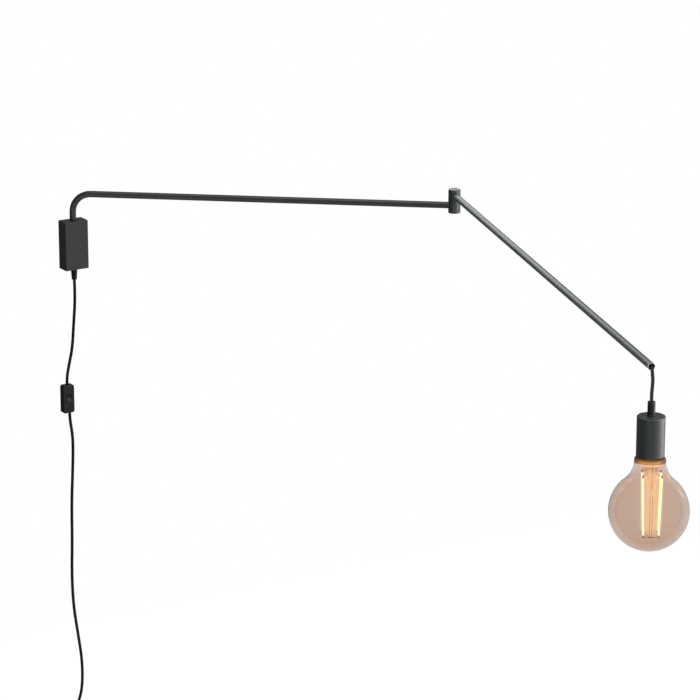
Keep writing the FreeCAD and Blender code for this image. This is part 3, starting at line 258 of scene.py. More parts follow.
def glass_material(name, facing_stops, bands=()):
    """Thin glass, tinted by how it faces the eye and by bands (tint, clear at, full at)."""
    material, tree, shader = new_material(name, facing_stops[0][1], roughness=0.0)
    shader.inputs["Transmission Weight"].default_value = 1.0
    shader.inputs["IOR"].default_value = GLASS_IOR
    shader.inputs["Specular Tint"].default_value = GLASS_MIRROR_TINT
    colour = ramp_of(tree, facing(tree), facing_stops)
    for tint, clear_at, full_at in bands:
        share = height_share(tree, clear_at, full_at)
        colour = multiplied(tree, share, colour, (*tint, 1.0))
    tree.links.new(colour, shader.inputs["Base Color"])
    vary_roughness(tree, shader, low=0.0, high=0.015, scale=90)
    add_bump(tree, shader, scale=30, strength=0.05, depth=0.06 * MM, detail=0.0)
    return material


def painted_reflection_material(name, foot, height, stops, facing_stops, clear_share, cover):
    """Amber band in the glass neck standing for a painted reflection that glows by its own
    emission: darker at its outline as painted shade, fading out downwards.
    """
    material, tree, shader = new_material(name, stops[-1][1], roughness=0.3)
    share = height_share(tree, foot, foot + height)
    colour = multiplied(
        tree, 1.0, ramp_of(tree, share, stops), ramp_of(tree, facing(tree), facing_stops)
    )
    tree.links.new(colour, shader.inputs["Base Color"])
    # The band glows in its own colour, as painted light.
    tree.links.new(colour, shader.inputs["Emission Color"])
    shader.inputs["Emission Strength"].default_value = 1.0
    fade = stretched(tree, share, (0.0, clear_share), (0.0, cover))
    tree.links.new(fade, shader.inputs["Alpha"])
    add_bump(tree, shader, scale=120, strength=0.1, depth=0.05 * MM)
    return material


def glowing_material(name, core, edge, power):
    """Coating that is brightest face on and warmer towards its edges."""
    material, tree, shader = new_material(name, core, roughness=0.5)
    colour = ramp_of(tree, facing(tree, blend=0.35), [(0.0, core), (1.0, edge)])
    tree.links.new(colour, shader.inputs["Emission Color"])
    shader.inputs["Emission Strength"].default_value = power
    return material


def halo_material(name, colour, power, density, falloff):
    """Glow round a filament: bright in its middle and clear at its edge."""
    material, tree, surface = bare_material(name)
    clear = tree.nodes.new("ShaderNodeBsdfTransparent")
    glow = tree.nodes.new("ShaderNodeEmission")
    glow.inputs["Color"].default_value = (*colour, 1.0)
    glow.inputs["Strength"].default_value = power
    middle = calculated(tree, "SUBTRACT", 1.0, facing(tree))
    share = calculated(tree, "MULTIPLY", calculated(tree, "POWER", middle, falloff), density)
    tree.links.new(mixed(tree, share, clear.outputs[0], glow.outputs[0]), surface)
    return material


# ---------------------------------------------------------------- materials
powder_coat = textured(
    "powder_coat", (0.0175, 0.0205, 0.0215), (0.0215, 0.025, 0.026),
    roughness=(0.41, 0.45), grain=1500, bump=0.03, depth=0.05 * MM,
)
cord_jacket = textured(
    "cord_jacket", (0.0045, 0.0045, 0.005), (0.007, 0.007, 0.0075),
    roughness=(0.46, 0.56), grain=1800, bump=0.2, depth=0.04 * MM, specular=0.2,
)
moulded_plastic = textured(
    "moulded_plastic", (0.006, 0.0063, 0.0067), (0.009, 0.0094, 0.01),
    roughness=(0.36, 0.46), grain=2600, bump=0.2, depth=0.03 * MM, specular=0.28,
)
gloss_plastic = textured(
    "gloss_plastic", (0.008, 0.008, 0.0085), (0.011, 0.011, 0.012),
    roughness=(0.26, 0.32), grain=700, bump=0.05, depth=0.02 * MM, specular=0.3,
)
bush_plastic = textured(
    "bush_plastic", (0.007, 0.007, 0.0075), (0.010, 0.010, 0.0105),
    roughness=(0.4, 0.5), grain=2000, bump=0.2, depth=0.03 * MM,
)
zinc_steel = textured(
    "zinc_steel", (0.42, 0.43, 0.45), (0.55, 0.56, 0.57),
    roughness=(0.26, 0.4), grain=900, bump=0.12, depth=0.03 * MM, metallic=1.0,
)
nickel = textured(
    "nickel", (0.60, 0.58, 0.54), (0.70, 0.68, 0.64),
    roughness=(0.14, 0.24), grain=700, bump=0.06, depth=0.02 * MM, metallic=1.0,
)
black_steel = textured(
    "black_steel", (0.028, 0.029, 0.031), (0.042, 0.043, 0.045),
    roughness=(0.28, 0.4), grain=1400, bump=0.12, depth=0.03 * MM, metallic=0.6,
)
brass = textured(
    "brass", (0.62, 0.42, 0.16), (0.74, 0.52, 0.22),
    roughness=(0.22, 0.34), grain=900, bump=0.1, depth=0.03 * MM, metallic=1.0,
)
nylon = textured(
    "nylon", (0.68, 0.66, 0.60), (0.76, 0.74, 0.69),
    roughness=(0.38, 0.5), grain=1200, bump=0.1, depth=0.03 * MM,
)
insulation = textured(
    "insulation", (0.09, 0.035, 0.015), (0.13, 0.05, 0.02),
    roughness=(0.34, 0.44), grain=1500, bump=0.1, depth=0.03 * MM,
)
# Light grey for the tube's lip: a painted highlight round the open end.
lip_painted_highlight = textured(
    "lip_painted_highlight", (0.34, 0.345, 0.35), (0.44, 0.445, 0.45),
    roughness=(0.3, 0.4), grain=1200, bump=0.1, depth=0.02 * MM, metallic=0.3,
)
thermoset = textured(
    "thermoset", (0.012, 0.012, 0.012), (0.02, 0.019, 0.018),
    roughness=(0.3, 0.4), grain=1100, bump=0.1, depth=0.03 * MM,
)
clip_brass = textured(
    "clip_brass", (0.55, 0.30, 0.06), (0.80, 0.50, 0.12),
    roughness=(0.25, 0.4), grain=900, bump=0.1, depth=0.03 * MM, metallic=1.0,
)
warm_wire = textured(
    "warm_wire", (0.26, 0.11, 0.03), (0.38, 0.18, 0.05),
    roughness=(0.3, 0.42), grain=900, bump=0.1, depth=0.02 * MM, metallic=0.8,
)
amber_glass = glass_material(
    "amber_glass",
    # Colour by facing: the face-on amber is the glass's own colour, while the pale ring and the
    # dark outline are painted reflection and painted shade at the globe's edge.
    facing_stops=[
        (0.0, (0.73, 0.618, 0.55)),
        (0.32, (0.725, 0.612, 0.547)),
        (0.41, (0.69, 0.565, 0.495)),
        (0.49, (0.73, 0.65, 0.60)),
        (0.76, (0.71, 0.645, 0.60)),
        (0.88, (0.58, 0.51, 0.47)),
        (1.0, (0.20, 0.17, 0.15)),
    ],
    # Bands: the first is painted light that lightens the globe above its middle; the second makes
    # the glass lighter and bluer near the neck; the third makes it darker and warmer towards the
    # bottom.
    bands=[
        ((1.04, 1.01, 0.99), over_globe_middle(8), over_globe_middle(40)),
        ((1.07, 1.14, 1.24), over_globe_middle(52), over_globe_middle(68)),
        ((0.97, 0.895, 0.84), over_globe_middle(-30), over_globe_middle(-60)),
    ],
)
stem_glass = glass_material(
    "stem_glass",
    facing_stops=[(0.0, (0.98, 0.90, 0.80)), (0.6, (0.97, 0.80, 0.62)), (1.0, (0.85, 0.55, 0.32))],
)
# Painted reflection in the glass neck: an orange band with a dark line, glowing by its own
# emission and darkened towards its outline as painted shade.
neck_painted_reflection = painted_reflection_material(
    "neck_painted_reflection", foot=over_globe_middle(77.6), height=9 * MM,
    stops=[
        (0.0, (1.0, 0.70, 0.48)),
        (0.24, (0.96, 0.58, 0.31)),
        (0.38, (0.70, 0.33, 0.12)),
        (0.5, (0.24, 0.10, 0.03)),
        (0.6, (0.60, 0.28, 0.10)),
        (0.78, (0.38, 0.17, 0.055)),
        (1.0, (0.22, 0.09, 0.025)),
    ],
    facing_stops=[
        (0.0, (1.0, 1.0, 1.0)),
        (0.14, (1.0, 1.0, 1.0)),
        (0.38, (0.42, 0.34, 0.28)),
        (0.6, (0.16, 0.12, 0.09)),
        (1.0, (0.07, 0.05, 0.035)),
    ],
    clear_share=0.6, cover=0.9,
)
filament_glow = glowing_material(
    "filament_glow", core=(1.0, 0.88, 0.60), edge=(1.0, 0.66, 0.24), power=8.0
)
filament_halo = halo_material(
    "filament_halo", (1.0, 0.76, 0.40), power=1.5, density=0.85, falloff=1.6
)
bulb_glow = halo_material("bulb_glow", (1.0, 0.70, 0.38), power=1.7, density=0.3, falloff=1.8)
leg_glow = halo_material("leg_glow", (1.0, 0.55, 0.18), power=0.9, density=0.6, falloff=2.5)

# ---------------------------------------------------------------- CAD nodes that stay
node_materials = {
    powder_coat: [
        "cover", "arm_one_tube", "arm_two_tube", "knuckle_lower", "knuckle_upper", "holder_cup",
    ],
    zinc_steel: [
        "wall_bracket", "nipple", "nipple_nut", "lock_nut", "thrust_washer",
        "thrust_collar", "retaining_collar", "bulb_contact",
    ],
    nickel: [
        "terminal_screws", "saddle_screws", "switch_screws", "socket_terminals", "plug_pins",
        "socket_shell", "bulb_cap",
    ],
    black_steel: ["pivot_screw", "screw_washer", "collar_screws", "stop_dowel", "cover_screws"],
    bush_plastic: ["upper_bush", "lower_bush", "bottom_cap", "elbow_washer"],
    warm_wire: ["filament_supports"],
    moulded_plastic: [
        "cord_gland", "cord_grip", "switch_front", "switch_back", "plug_body", "coil_tie",
    ],
    gloss_plastic: ["switch_rocker", "grip_screw"],
    nylon: ["terminal_block", "cord_saddle", "cord_anchor"],
    brass: ["socket_contact", "switch_contacts"],
    cord_jacket: ["mains_lead_inside"],
    insulation: ["base_wires", "arm_one_wires", "arm_two_wires", "holder_wires"],
    thermoset: ["socket_body"],
    stem_glass: ["bulb_stem"],
}
for material, nodes in node_materials.items():
    for node in nodes:
        shape = frame["nodes"][node]
        shape.data.materials.clear()
        shape.data.materials.append(material)

# ---------------------------------------------------------------- mesh helpers
ON_AXIS = 1e-7  # points nearer to a lathe's axis than this are on it
DOME_STEPS = 5


def link(piece, material, body, stands_for=()):
    """Puts a piece in the scene, on its body and in its material slot."""
    bpy.context.scene.collection.objects.link(piece)
    piece.data.materials.append(material)
    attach(piece, body)
    if stands_for:
        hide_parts(*stands_for)


def smooth(mesh, sharp_angle):
    """Smooth shading with sharp edges where faces meet at more than the angle."""
    mesh.shade_smooth()
    mesh.set_sharp_from_angle(angle=math.radians(sharp_angle))


def mesh_piece(name, vertices, faces, sharp_angle=40):
    """Object from points and faces, with its normals pointing out."""
    mesh = bpy.data.meshes.new(name)
    mesh.from_pydata(vertices, [], faces)
    mesh.validate()
    shell = bmesh.new()
    shell.from_mesh(mesh)
    bmesh.ops.recalc_face_normals(shell, faces=shell.faces)
    shell.to_mesh(mesh)
    shell.free()
    smooth(mesh, sharp_angle)
    return bpy.data.objects.new(name, mesh)


def lathe(name, profile, centre=ORIGIN, segments=96, sharp_angle=40):
    """Turns (radius, height) points, which form a closed outline or end on the axis."""
    vertices = []
    rings = []
    for radius, height in profile:
        first = len(vertices)
        if radius < ON_AXIS:
            rings.append([first])
            vertices.append((centre.x, centre.y, centre.z + height))
            continue
        rings.append(list(range(first, first + segments)))
        for step in range(segments):
            angle = 2 * math.pi * step / segments
            vertices.append((
                centre.x + radius * math.cos(angle),
                centre.y + radius * math.sin(angle),
                centre.z + height,
            ))
    pairs = list(zip(rings, rings[1:]))
    ends_on_axis = len(rings[0]) == 1 and len(rings[-1]) == 1
    if not ends_on_axis:
        pairs.append((rings[-1], rings[0]))
    faces = []
    for low, high in pairs:
        for step in range(segments):
            following = (step + 1) % segments
            if len(low) == 1:
                faces.append((low[0], high[following], high[step]))
            elif len(high) == 1:
                faces.append((low[step], low[following], high[0]))
            else:
                faces.append((low[step], low[following], high[following], high[step]))
    return mesh_piece(name, vertices, faces, sharp_angle)


def arc_points(centre_r, centre_z, radius, start, end, count):
    """Points on an arc in the (radius, height) plane, angles in degrees."""
    points = []
    for step in range(count + 1):
        angle = math.radians(start + (end - start) * step / count)
        points.append((centre_r + radius * math.cos(angle), centre_z + radius * math.sin(angle)))
    return points


def rod(name, start, end, radius, segments=20):
    """Round rod with domed ends between two points."""
    length = (end - start).length
    dome = arc_points(0, 0, radius, -90, 0, DOME_STEPS)
    profile = dome + [(r, length - z) for r, z in reversed(dome)]
    piece = lathe(name, profile, segments=segments)
    turn = Z_UP.rotation_difference((end - start).normalized()).to_matrix().to_4x4()
    piece.data.transform(Matrix.Translation(start) @ turn)
    return piece


def joined(name, pieces):
    """One object from several meshes."""
    shell = bmesh.new()
    for piece in pieces:
        shell.from_mesh(piece.data)
        bpy.data.objects.remove(piece)
    mesh = bpy.data.meshes.new(name)
    shell.to_mesh(mesh)
    shell.free()
    smooth(mesh, sharp_angle=45)
    return bpy.data.objects.new(name, mesh)


def route_curve(name, points, diameter):
    """Round tube on one smooth spline whose control points are the route."""
    curve = bpy.data.curves.new(name, "CURVE")
    curve.dimensions = "3D"
    spline = curve.splines.new("NURBS")
    spline.points.add(len(points) - 1)
    for control, place in zip(spline.points, points):
        control.co = (*place, 1.0)
    spline.order_u = 3
    spline.use_endpoint_u = True
    spline.resolution_u = 10
    curve.bevel_depth = diameter / 2
    curve.bevel_resolution = 5
    curve.use_fill_caps = True
    return bpy.data.objects.new(name, curve)


def curve_mesh(name, points, diameter):
    """Mesh of a route's tube, or of its bare line when the diameter is 0."""
    curve = route_curve(name, points, diameter)
    mesh = bpy.data.meshes.new_from_object(curve)
    bpy.data.objects.remove(curve)
    return mesh


def route_line(points):
    """Points along the spline of a route, read from Blender's own curve."""
    mesh = curve_mesh("route_line", points, 0.0)
    line = [vertex.co.copy() for vertex in mesh.vertices]
    bpy.data.meshes.remove(mesh)
    return line


# ---------------------------------------------------------------- camera
picture_width = 700  # pixels
focal_length = 3514.8  # pixels
sensor_width = 36.0
look_down = 16.557  # degrees
look_right = 32.30
view_right = Vector((0.845, -0.534, 0))  # the frame's direction to the picture's right
camera_place = (-2.9084, -5.5655, 1.6541)
far_limit = 60  # metres

camera_data = bpy.data.cameras.new("camera")
camera_data.sensor_width = sensor_width
camera_data.lens = focal_length * sensor_width / picture_width
camera_data.clip_end = far_limit
camera = bpy.data.objects.new("camera", camera_data)
camera.location = camera_place
camera.rotation_euler = (math.radians(90 - look_down), 0, math.radians(-look_right))
bpy.context.scene.collection.objects.link(camera)
bpy.context.scene.camera = camera
bpy.context.scene.view_settings.view_transform = "Standard"

# ---------------------------------------------------------------- mains cord
switch_centre = Vector((-20.3 * MM, pivot_y, -293.5 * MM))
switch_half = 27.0 * MM
switch_low_exit = Vector((4.0 * MM, 0, 0))  # the lower cord leaves beside the middle
switch_top_end = switch_centre + Z_UP * switch_half
switch_low_end = switch_centre - Z_UP * switch_half + switch_low_exit
straight_at_switch = 14 * MM
gland_drop = 21.5 * MM
plug_top_z = -1032.0 * MM
tail_middle_z = -1012 * MM

coil_centre = Vector((-5.0 * MM, pivot_y, -986.0 * MM))
coil_radius = 40.0 * MM
coil_pitch = 6.2 * MM
coil_layer = 6.4 * MM
coil_turns_each_way = 2.5
coil_crossing = 0.5  # turns in which the cord moves over to the second layer
points_per_turn = 24


def on_wall(*pairs):
    """Route points in the plane of the cord, from (x, z) in millimetres."""
    return [Vector((x * MM, pivot_y, z * MM)) for x, z in pairs]


def coil_point(turns):
    """Middle of the coiled cord after a number of turns, from its left side."""
    inward = min(turns, 2 * coil_turns_each_way - turns)
    radius = coil_radius - coil_pitch * inward
    crossed = (turns - coil_turns_each_way + coil_crossing / 2) / coil_crossing
    climb = min(1.0, max(0.0, crossed))
    depth = coil_layer * (1 - math.cos(math.pi * climb)) / 2
    angle = math.pi + 2 * math.pi * turns
    return coil_centre + Vector((radius * math.cos(angle), depth, radius * math.sin(angle)))


upper_route = [Vector((0, pivot_y, -box_half_height - gland_drop))]
upper_route += on_wall((0.9, -104), (-3.6, -152), (-7.4, -198), (-15.2, -229))
upper_route += [switch_top_end + Z_UP * straight_at_switch, switch_top_end]

lower_route = [switch_low_end, switch_low_end - Z_UP * straight_at_switch]
lower_route += on_wall(
    (-10.2, -372), (-12.4, -432), (-16.6, -500), (-17.2, -574), (-19.8, -640), (-18.0, -704),
    (-9.2, -766), (-1.6, -822), (-3.2, -880), (-18, -914), (-37, -938), (-45, -961),
)
coil_steps = int(2 * coil_turns_each_way * points_per_turn)
lower_route.append(coil_point(0) + Z_UP * cord_diameter)
lower_route += [coil_point(step / points_per_turn) for step in range(coil_steps + 1)]
coil_end = lower_route[-1]
lower_route += [
    coil_end - Z_UP * cord_diameter,
    Vector((coil_end.x, coil_end.y, tail_middle_z)),
    Vector((coil_end.x, coil_end.y, plug_top_z)),
]

upper_cord = route_curve("mains_cord_top", upper_route, cord_diameter)
link(upper_cord, cord_jacket, "wall_unit", ["mains_cord_upper"])
lower_cord = route_curve("mains_cord_low", lower_route, cord_diameter)
link(
    lower_cord, cord_jacket, "wall_unit",
    ["mains_cord_lower", "mains_cord_coil", "mains_cord_tail"],
)


# ---------------------------------------------------------------- pendant cord
def in_tube(setback):
    """Point on the cord in arm two, some way short of the tube's open end."""
    place = elbow + arm_two * (arm_two_length - setback)
    return Vector((place.x, place.y, in_tube_z))


def on_pendant(sideways, height):
    """Point on the hanging cord, moved sideways; both in millimetres."""
    return hang + view_right * sideways * MM + Z_UP * height * MM


top_route = [
    in_tube(27 * MM), in_tube(14 * MM), in_tube(lip_bend_setback),
    on_pendant(-0.4, 112.4), on_pendant(0.1, 105.0), on_pendant(0.7, 100.5),
    on_pendant(0.9, 96.5),
]
foot_route = [
    on_pendant(0.9, 96.5), on_pendant(1.0, 92.5), on_pendant(0.7, 85), on_pendant(0, 76),
    on_pendant(-0.2, 66), on_pendant(0, 58), on_pendant(0, 50),
]


def blended_cord(name, route, stands_for):
    """Cord stretch as a mesh tube along its route."""
    line = route_line(route)
    mesh = curve_mesh(name, route, cord_diameter)
    mesh.name = name
    smooth(mesh, sharp_angle=50)
    piece = bpy.data.objects.new(name, mesh)
    bpy.context.scene.collection.objects.link(piece)
    mesh.materials.clear()
    mesh.materials.append(cord_jacket)
    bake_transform(piece)
    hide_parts(*stands_for)


blended_cord(
    "pendant_cord_top", top_route, ["pendant_cord_inside", "pendant_cord_upper"],
)
blended_cord(
    "pendant_cord_foot", foot_route, ["pendant_cord_lower"],
)

# ---------------------------------------------------------------- tube's open end
lip_proud = 0.12 * MM  # in front of the tube's end
lip_skin = tube_radius + 0.03 * MM  # just outside the tube's own face
lip_depth = 0.9 * MM
inner_chamfer = 0.25 * MM
inner_chamfer_depth = 0.6 * MM
outer_chamfer = 0.3 * MM
outer_chamfer_depth = 0.25 * MM
lip_profile = [
    (tube_bore, -inner_chamfer_depth),
    (tube_bore + inner_chamfer, lip_proud),
    (tube_radius - outer_chamfer, lip_proud),
    (lip_skin, -outer_chamfer_depth),
    (lip_skin, -lip_depth),
    (tube_bore, -lip_depth),
]
tube_lip = lathe("tube_lip", lip_profile, segments=72)
tube_end = elbow + arm_two * arm_two_length
tube_lip.data.transform(
    Matrix.Translation(Vector((tube_end.x, tube_end.y, arm_two_z)))
    @ Z_UP.rotation_difference(arm_two).to_matrix().to_4x4()
)
# The lip's light grey is a painted highlight.
link(tube_lip, lip_painted_highlight, "second_arm")

# ---------------------------------------------------------------- strain relief
# Radii and heights in millimetres; the heights start at the box's underside. Each ridge
# and its groove follow ridge_form, as points (further out, higher) from the ridge's foot.
gland_bore = 2.9
gland_foot = -21.5
gland_tip = 3.9
gland_round = 1.1
ridge_count = 5
ridge_foot = -18.6
ridge_radius = 5.05
ridge_spacing = 3.4
ridge_widening = 0.22
ridge_form = [(0, 0), (-0.55, 0.25), (-0.55, 0.95), (0.05, 1.2)]
neck_size, neck_foot = 6.1, -2.2
flange_size, flange_foot, flange_top = 8.0, 1.5, 3.5
gland_profile = [(gland_bore, gland_foot), (gland_tip, gland_foot)]
gland_profile += arc_points(gland_tip, gland_foot + gland_round, gland_round, -90, 0, 5)
for ridge in range(ridge_count):
    height = ridge_foot + ridge * ridge_spacing
    outer = ridge_radius + ridge * ridge_widening
    gland_profile += [(outer + further, height + higher) for further, higher in ridge_form]
gland_profile += [
    (neck_size, neck_foot), (neck_size, flange_foot), (flange_size, flange_foot),
    (flange_size, flange_top), (gland_bore, flange_top),
]
strain_relief = lathe(
    "strain_relief", [(radius * MM, height * MM) for radius, height in gland_profile],
    Vector((0, pivot_y, -box_half_height)), segments=72,
)
link(strain_relief, moulded_plastic, "wall_unit", ["cord_gland"])

# ---------------------------------------------------------------- globe and its neck
neck_radius = 24.3 * MM
neck_level = 82.0 * MM
shoulder_radius = 6.0 * MM
mouth_radius = 7.0 * MM
glass_wall = 0.9 * MM
flare_radius = (
    (neck_level**2 + neck_radius**2 - globe_radius**2) / (2 * (globe_radius - neck_radius))
)
globe_segments = 160
neck_band_foot = 74 * MM
neck_band_faces = (-0.15 * MM, -0.05 * MM)  # insets, so the band lies outside the glass


def glass_outline(inset):
    """Profile from the lower pole to the shoulder's top, moved inwards by inset."""
    flare_centre_r = neck_radius + flare_radius
    globe_angle = math.degrees(math.atan2(neck_level, flare_centre_r))
    points = arc_points(0, 0, globe_radius - inset, -90, globe_angle, 64)
    points += arc_points(
        flare_centre_r, neck_level, flare_radius + inset, 180 + globe_angle, 180, 24
    )[1:]
    points += arc_points(
        neck_radius - shoulder_radius, neck_level, shoulder_radius - inset, 0, 90, 10
    )[1:]
    return points


outer_glass = glass_outline(0)
inner_glass = glass_outline(glass_wall)
mouth = [(mouth_radius, glass[-1][1]) for glass in (outer_glass, inner_glass)]
globe = lathe(
    "globe_glass", outer_glass + mouth + inner_glass[::-1], globe_centre, globe_segments,
    sharp_angle=60,
)
link(globe, amber_glass, "pendant", ["bulb_glass"])

band_outer, band_inner = [
    [point for point in glass_outline(inset) if point[1] > neck_band_foot]
    for inset in neck_band_faces
]
neck_band = lathe("neck_band", band_outer + band_inner[::-1], globe_centre, sharp_angle=60)
# The neck band carries the painted reflection.
link(neck_band, neck_painted_reflection, "pendant")

# ---------------------------------------------------------------- filaments and their glow
# Tops and bottoms are heights above the globe's middle.
filament_count = 4
filament_radius = 0.9 * MM
filament_top = 59 * MM
filament_bottom = -38 * MM
filament_top_circle = 20.5 * MM
filament_bottom_circle = 16.6 * MM
filament_turn = 10.4  # degrees
filament_gap = 1.5 * MM  # from a filament's end to its support
halo_radius = 2.3 * MM
halo_gap = 3 * MM
clip_radius = 1.3 * MM
top_clip = (-1.5, 2.5)  # from the filament's end, in millimetres downwards
bottom_clip = (-2.0, 1.5)
halo_segments = 32
leg_halo_segments = 24
core_segments = 48
stem_offset = Vector((2.96, -1.87, 0)) * MM
stem_bottom = 24 * MM
leg_spread = 1.8 * MM
leg_halo_radius = 1.2 * MM
core_radius = 19 * MM
core_bottom = -24 * MM
core_top = 48 * MM

filament_rods = []
halo_rods = []
clips = []
cluster = globe_centre + stem_offset
for index in range(filament_count):
    angle = math.radians(filament_turn + 360 / filament_count * index)
    out = Vector((math.cos(angle), math.sin(angle), 0))
    top = cluster + out * filament_top_circle + Z_UP * filament_top
    bottom = cluster + out * filament_bottom_circle + Z_UP * filament_bottom
    down = (bottom - top).normalized()
    filament_rods.append(
        rod("rod", top + down * filament_gap, bottom - down * filament_gap, filament_radius)
    )
    halo_rods.append(
        rod("halo", top + down * halo_gap, bottom - down * halo_gap, halo_radius, halo_segments)
    )
    for end, (first, last) in ((top, top_clip), (bottom, bottom_clip)):
        clips.append(rod("clip", end + down * first * MM, end + down * last * MM, clip_radius))
filaments = joined("filament_rods", filament_rods)
link(filaments, filament_glow, "pendant", ["bulb_filaments"])
link(joined("filament_halos", halo_rods), filament_halo, "pendant")
link(joined("filament_clips", clips), clip_brass, "pendant")

# Glowing halos along the filaments' legs: painted glow on parts that are no lamp.
leg_sleeves = []
across = stem_offset.normalized()
for side in (-1, 1):
    leg = cluster + across * side * leg_spread
    leg_halo_foot = leg + Z_UP * (filament_bottom - 3 * MM)
    leg_halo_top = leg + Z_UP * (stem_bottom - 2 * MM)
    leg_sleeves.append(rod("sleeve", leg_halo_foot, leg_halo_top, leg_halo_radius, leg_halo_segments))
link(joined("leg_sleeves", leg_sleeves), leg_glow, "pendant")
# A glowing core in the bulb's middle: painted glow on a part that is no lamp.
warm_middle = rod(
    "warm_middle", cluster + Z_UP * core_bottom, cluster + Z_UP * core_top, core_radius,
    core_segments,
)
link(warm_middle, bulb_glow, "pendant")

# ---------------------------------------------------------------- lights
# Each light reaches one collection of pieces, because in the picture the arm at the wall
# is darker than the rest of the lamp.
glass_names = {"globe_glass", "bulb_stem", "neck_band"}
right_names = {
    "arm_two_tube", "knuckle_upper", "knuckle_lower", "pivot_screw", "tube_lip", "holder_cup",
    "cord_grip", "grip_screw", "pendant_cord_top", "pendant_cord_foot",
}
extra_names = {
    "tube": {"arm_two_tube", "tube_lip", "pendant_cord_top", "pendant_cord_foot"},
    "elbow": {"knuckle_upper", "pivot_screw"},
    "arm_one": {"arm_one_tube"},
}
receivers = {
    key: bpy.data.collections.new("lit_" + key)
    for key in ("all", "left", "right", "glass", *extra_names)
}


def add_area(name, place, target, size, power, receiver, colour=(1, 1, 1)):
    """Soft box that lights the pieces of one collection and isn't seen itself."""
    light = bpy.data.lights.new(name, "AREA")
    light.shape = "RECTANGLE"
    light.size, light.size_y = size
    light.energy = power
    light.color = colour
    lamp = bpy.data.objects.new(name, light)
    lamp.location = place
    lamp.rotation_euler = (Vector(target) - Vector(place)).to_track_quat("-Z", "Y").to_euler()
    lamp.visible_camera = False
    lamp.light_linking.receiver_collection = receivers[receiver]
    bpy.context.scene.collection.objects.link(lamp)


overhead = {"place": (0.3, -0.9, 2.6), "target": (0.3, -0.8, 0), "size": (2.6, 2.6)}
key_light = {"place": (1.9, -4.2, 1.3), "size": (2.0, 2.0)}
glint = {
    "target": (0.2, -1.5, -0.1), "size": (0.12, 0.36), "power": 0.34, "receiver": "glass",
    "colour": (1.0, 0.86, 0.70),
}
add_area("overhead", **overhead, power=56, receiver="all")
add_area("overhead_right", **overhead, power=30, receiver="right")
add_area("key_left", **key_light, target=(0.2, -0.6, 0), power=48, receiver="left")
add_area("key_right", **key_light, target=(0.2, -1.0, 0), power=125, receiver="right")
add_area(
    "fill", place=(-2.6, -3.8, 0.7), target=(0.3, -1.0, 0), size=(2.2, 2.2),
    power=45, receiver="right",
)
add_area(
    "right_side", place=(2.24, -2.33, 0.1), target=(0.2, -1.5, 0), size=(1.7, 2.2),
    power=55, receiver="right",
)
add_area(
    "back_strip", place=(0.74, 0.6, 0.76), target=(0.42, -0.75, 0.1), size=(1.15, 1.0),
    power=12.5, receiver="tube", colour=(0.95, 0.99, 1.0),
)
add_area(
    "elbow_glint", place=(0.9, 0.55, 0.62), target=(0.54, -0.46, 0.12), size=(0.9, 0.5),
    power=7, receiver="elbow",
)
add_area(
    "arm_one_fill", place=(-2.0, -1.7, -1.0), target=(0.25, -0.25, 0.1), size=(1.4, 1.4),
    power=16, receiver="arm_one",
)
add_area(
    "tube_side", place=(-2.3, -1.0, -0.5), target=(0.35, -1.0, 0.1), size=(1.4, 1.4),
    power=80, receiver="tube",
)
add_area("glint_left", place=(-0.28, -0.16, 0.55), **glint)
add_area("glint_right", place=(1.74, -1.34, 0.2), **glint)


# ---------------------------------------------------------------- studio
def seen_white(tree, lit, seen, glossy_share):
    """The camera and glass see one shader, reflections a share of it, all else the other."""
    path = tree.nodes.new("ShaderNodeLightPath")
    glossy = calculated(tree, "MULTIPLY", path.outputs["Is Glossy Ray"], glossy_share)
    direct = calculated(
        tree, "MAXIMUM", path.outputs["Is Camera Ray"], path.outputs["Is Transmission Ray"]
    )
    return mixed(tree, calculated(tree, "MAXIMUM", direct, glossy), lit, seen)


def matt(tree, grey):
    """Plain grey shader without gloss."""
    shader = tree.nodes.new("ShaderNodeBsdfDiffuse")
    shader.inputs["Color"].default_value = (grey, grey, grey, 1)
    return shader.outputs[0]


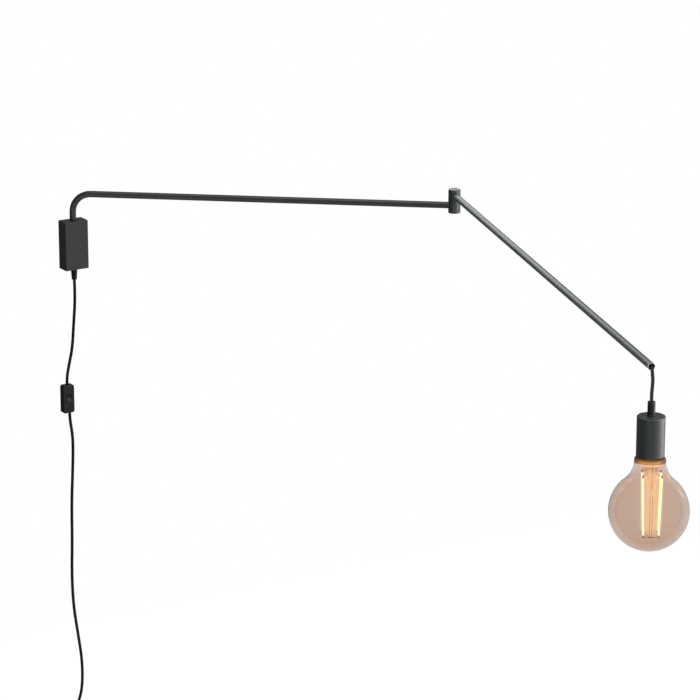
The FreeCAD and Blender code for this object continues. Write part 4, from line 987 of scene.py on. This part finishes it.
world = bpy.data.worlds.new("studio")
bpy.context.scene.world = world
world.use_nodes = True
sky = world.node_tree
sky.nodes.clear()
sky_place = sky.nodes.new("ShaderNodeTexCoord")
sideways = sky.nodes.new("ShaderNodeVectorMath")
sideways.operation = "DOT_PRODUCT"
sideways.inputs[1].default_value = view_right
sky.links.new(sky_place.outputs["Generated"], sideways.inputs[0])
greys = [
    (0.0, (0.10, 0.105, 0.11)),
    (0.5, (0.20, 0.205, 0.21)),
    (1.0, (0.55, 0.555, 0.56)),
]
soft = sky.nodes.new("ShaderNodeBackground")
left_to_right = stretched(sky, sideways.outputs["Value"], (-1, 1))
sky.links.new(ramp_of(sky, left_to_right, greys), soft.inputs["Color"])
white = sky.nodes.new("ShaderNodeBackground")
white.inputs["Color"].default_value = (1, 1, 1, 1)
mirrored_white = stretched(sky, sideways.outputs["Value"], (0.25, 0.9))
sky_out = sky.nodes.new("ShaderNodeOutputWorld")
sky.links.new(
    seen_white(sky, soft.outputs[0], white.outputs[0], mirrored_white), sky_out.inputs["Surface"]
)

floor_half = 1.7
floor_middle = Vector((0.25, -0.8, -1.14))
floor_material, floor_tree, floor_surface = bare_material("floor")
floor_glow = floor_tree.nodes.new("ShaderNodeEmission")
floor_glow.inputs["Strength"].default_value = 0.8
floor_seen = floor_tree.nodes.new("ShaderNodeAddShader")
floor_tree.links.new(matt(floor_tree, grey=0.4), floor_seen.inputs[0])
floor_tree.links.new(floor_glow.outputs[0], floor_seen.inputs[1])
floor_shader = seen_white(
    floor_tree, matt(floor_tree, grey=0.8), floor_seen.outputs[0], glossy_share=0.1
)
floor_tree.links.new(floor_shader, floor_surface)
floor_corners = [
    floor_middle + Vector((x * floor_half, y * floor_half, 0))
    for x, y in [(-1, -1), (1, -1), (1, 1), (-1, 1)]
]
floor = mesh_piece("floor", floor_corners, [(0, 1, 2, 3)])
floor.data.materials.append(floor_material)
bpy.context.scene.collection.objects.link(floor)

for piece in bpy.data.objects:
    if piece.type not in {"MESH", "CURVE"}:
        continue
    if piece.name in glass_names:
        receivers["glass"].objects.link(piece)
        continue
    receivers["all"].objects.link(piece)
    receivers["right" if piece.name in right_names else "left"].objects.link(piece)
    for key, names in extra_names.items():
        if piece.name in names:
            receivers[key].objects.link(piece)
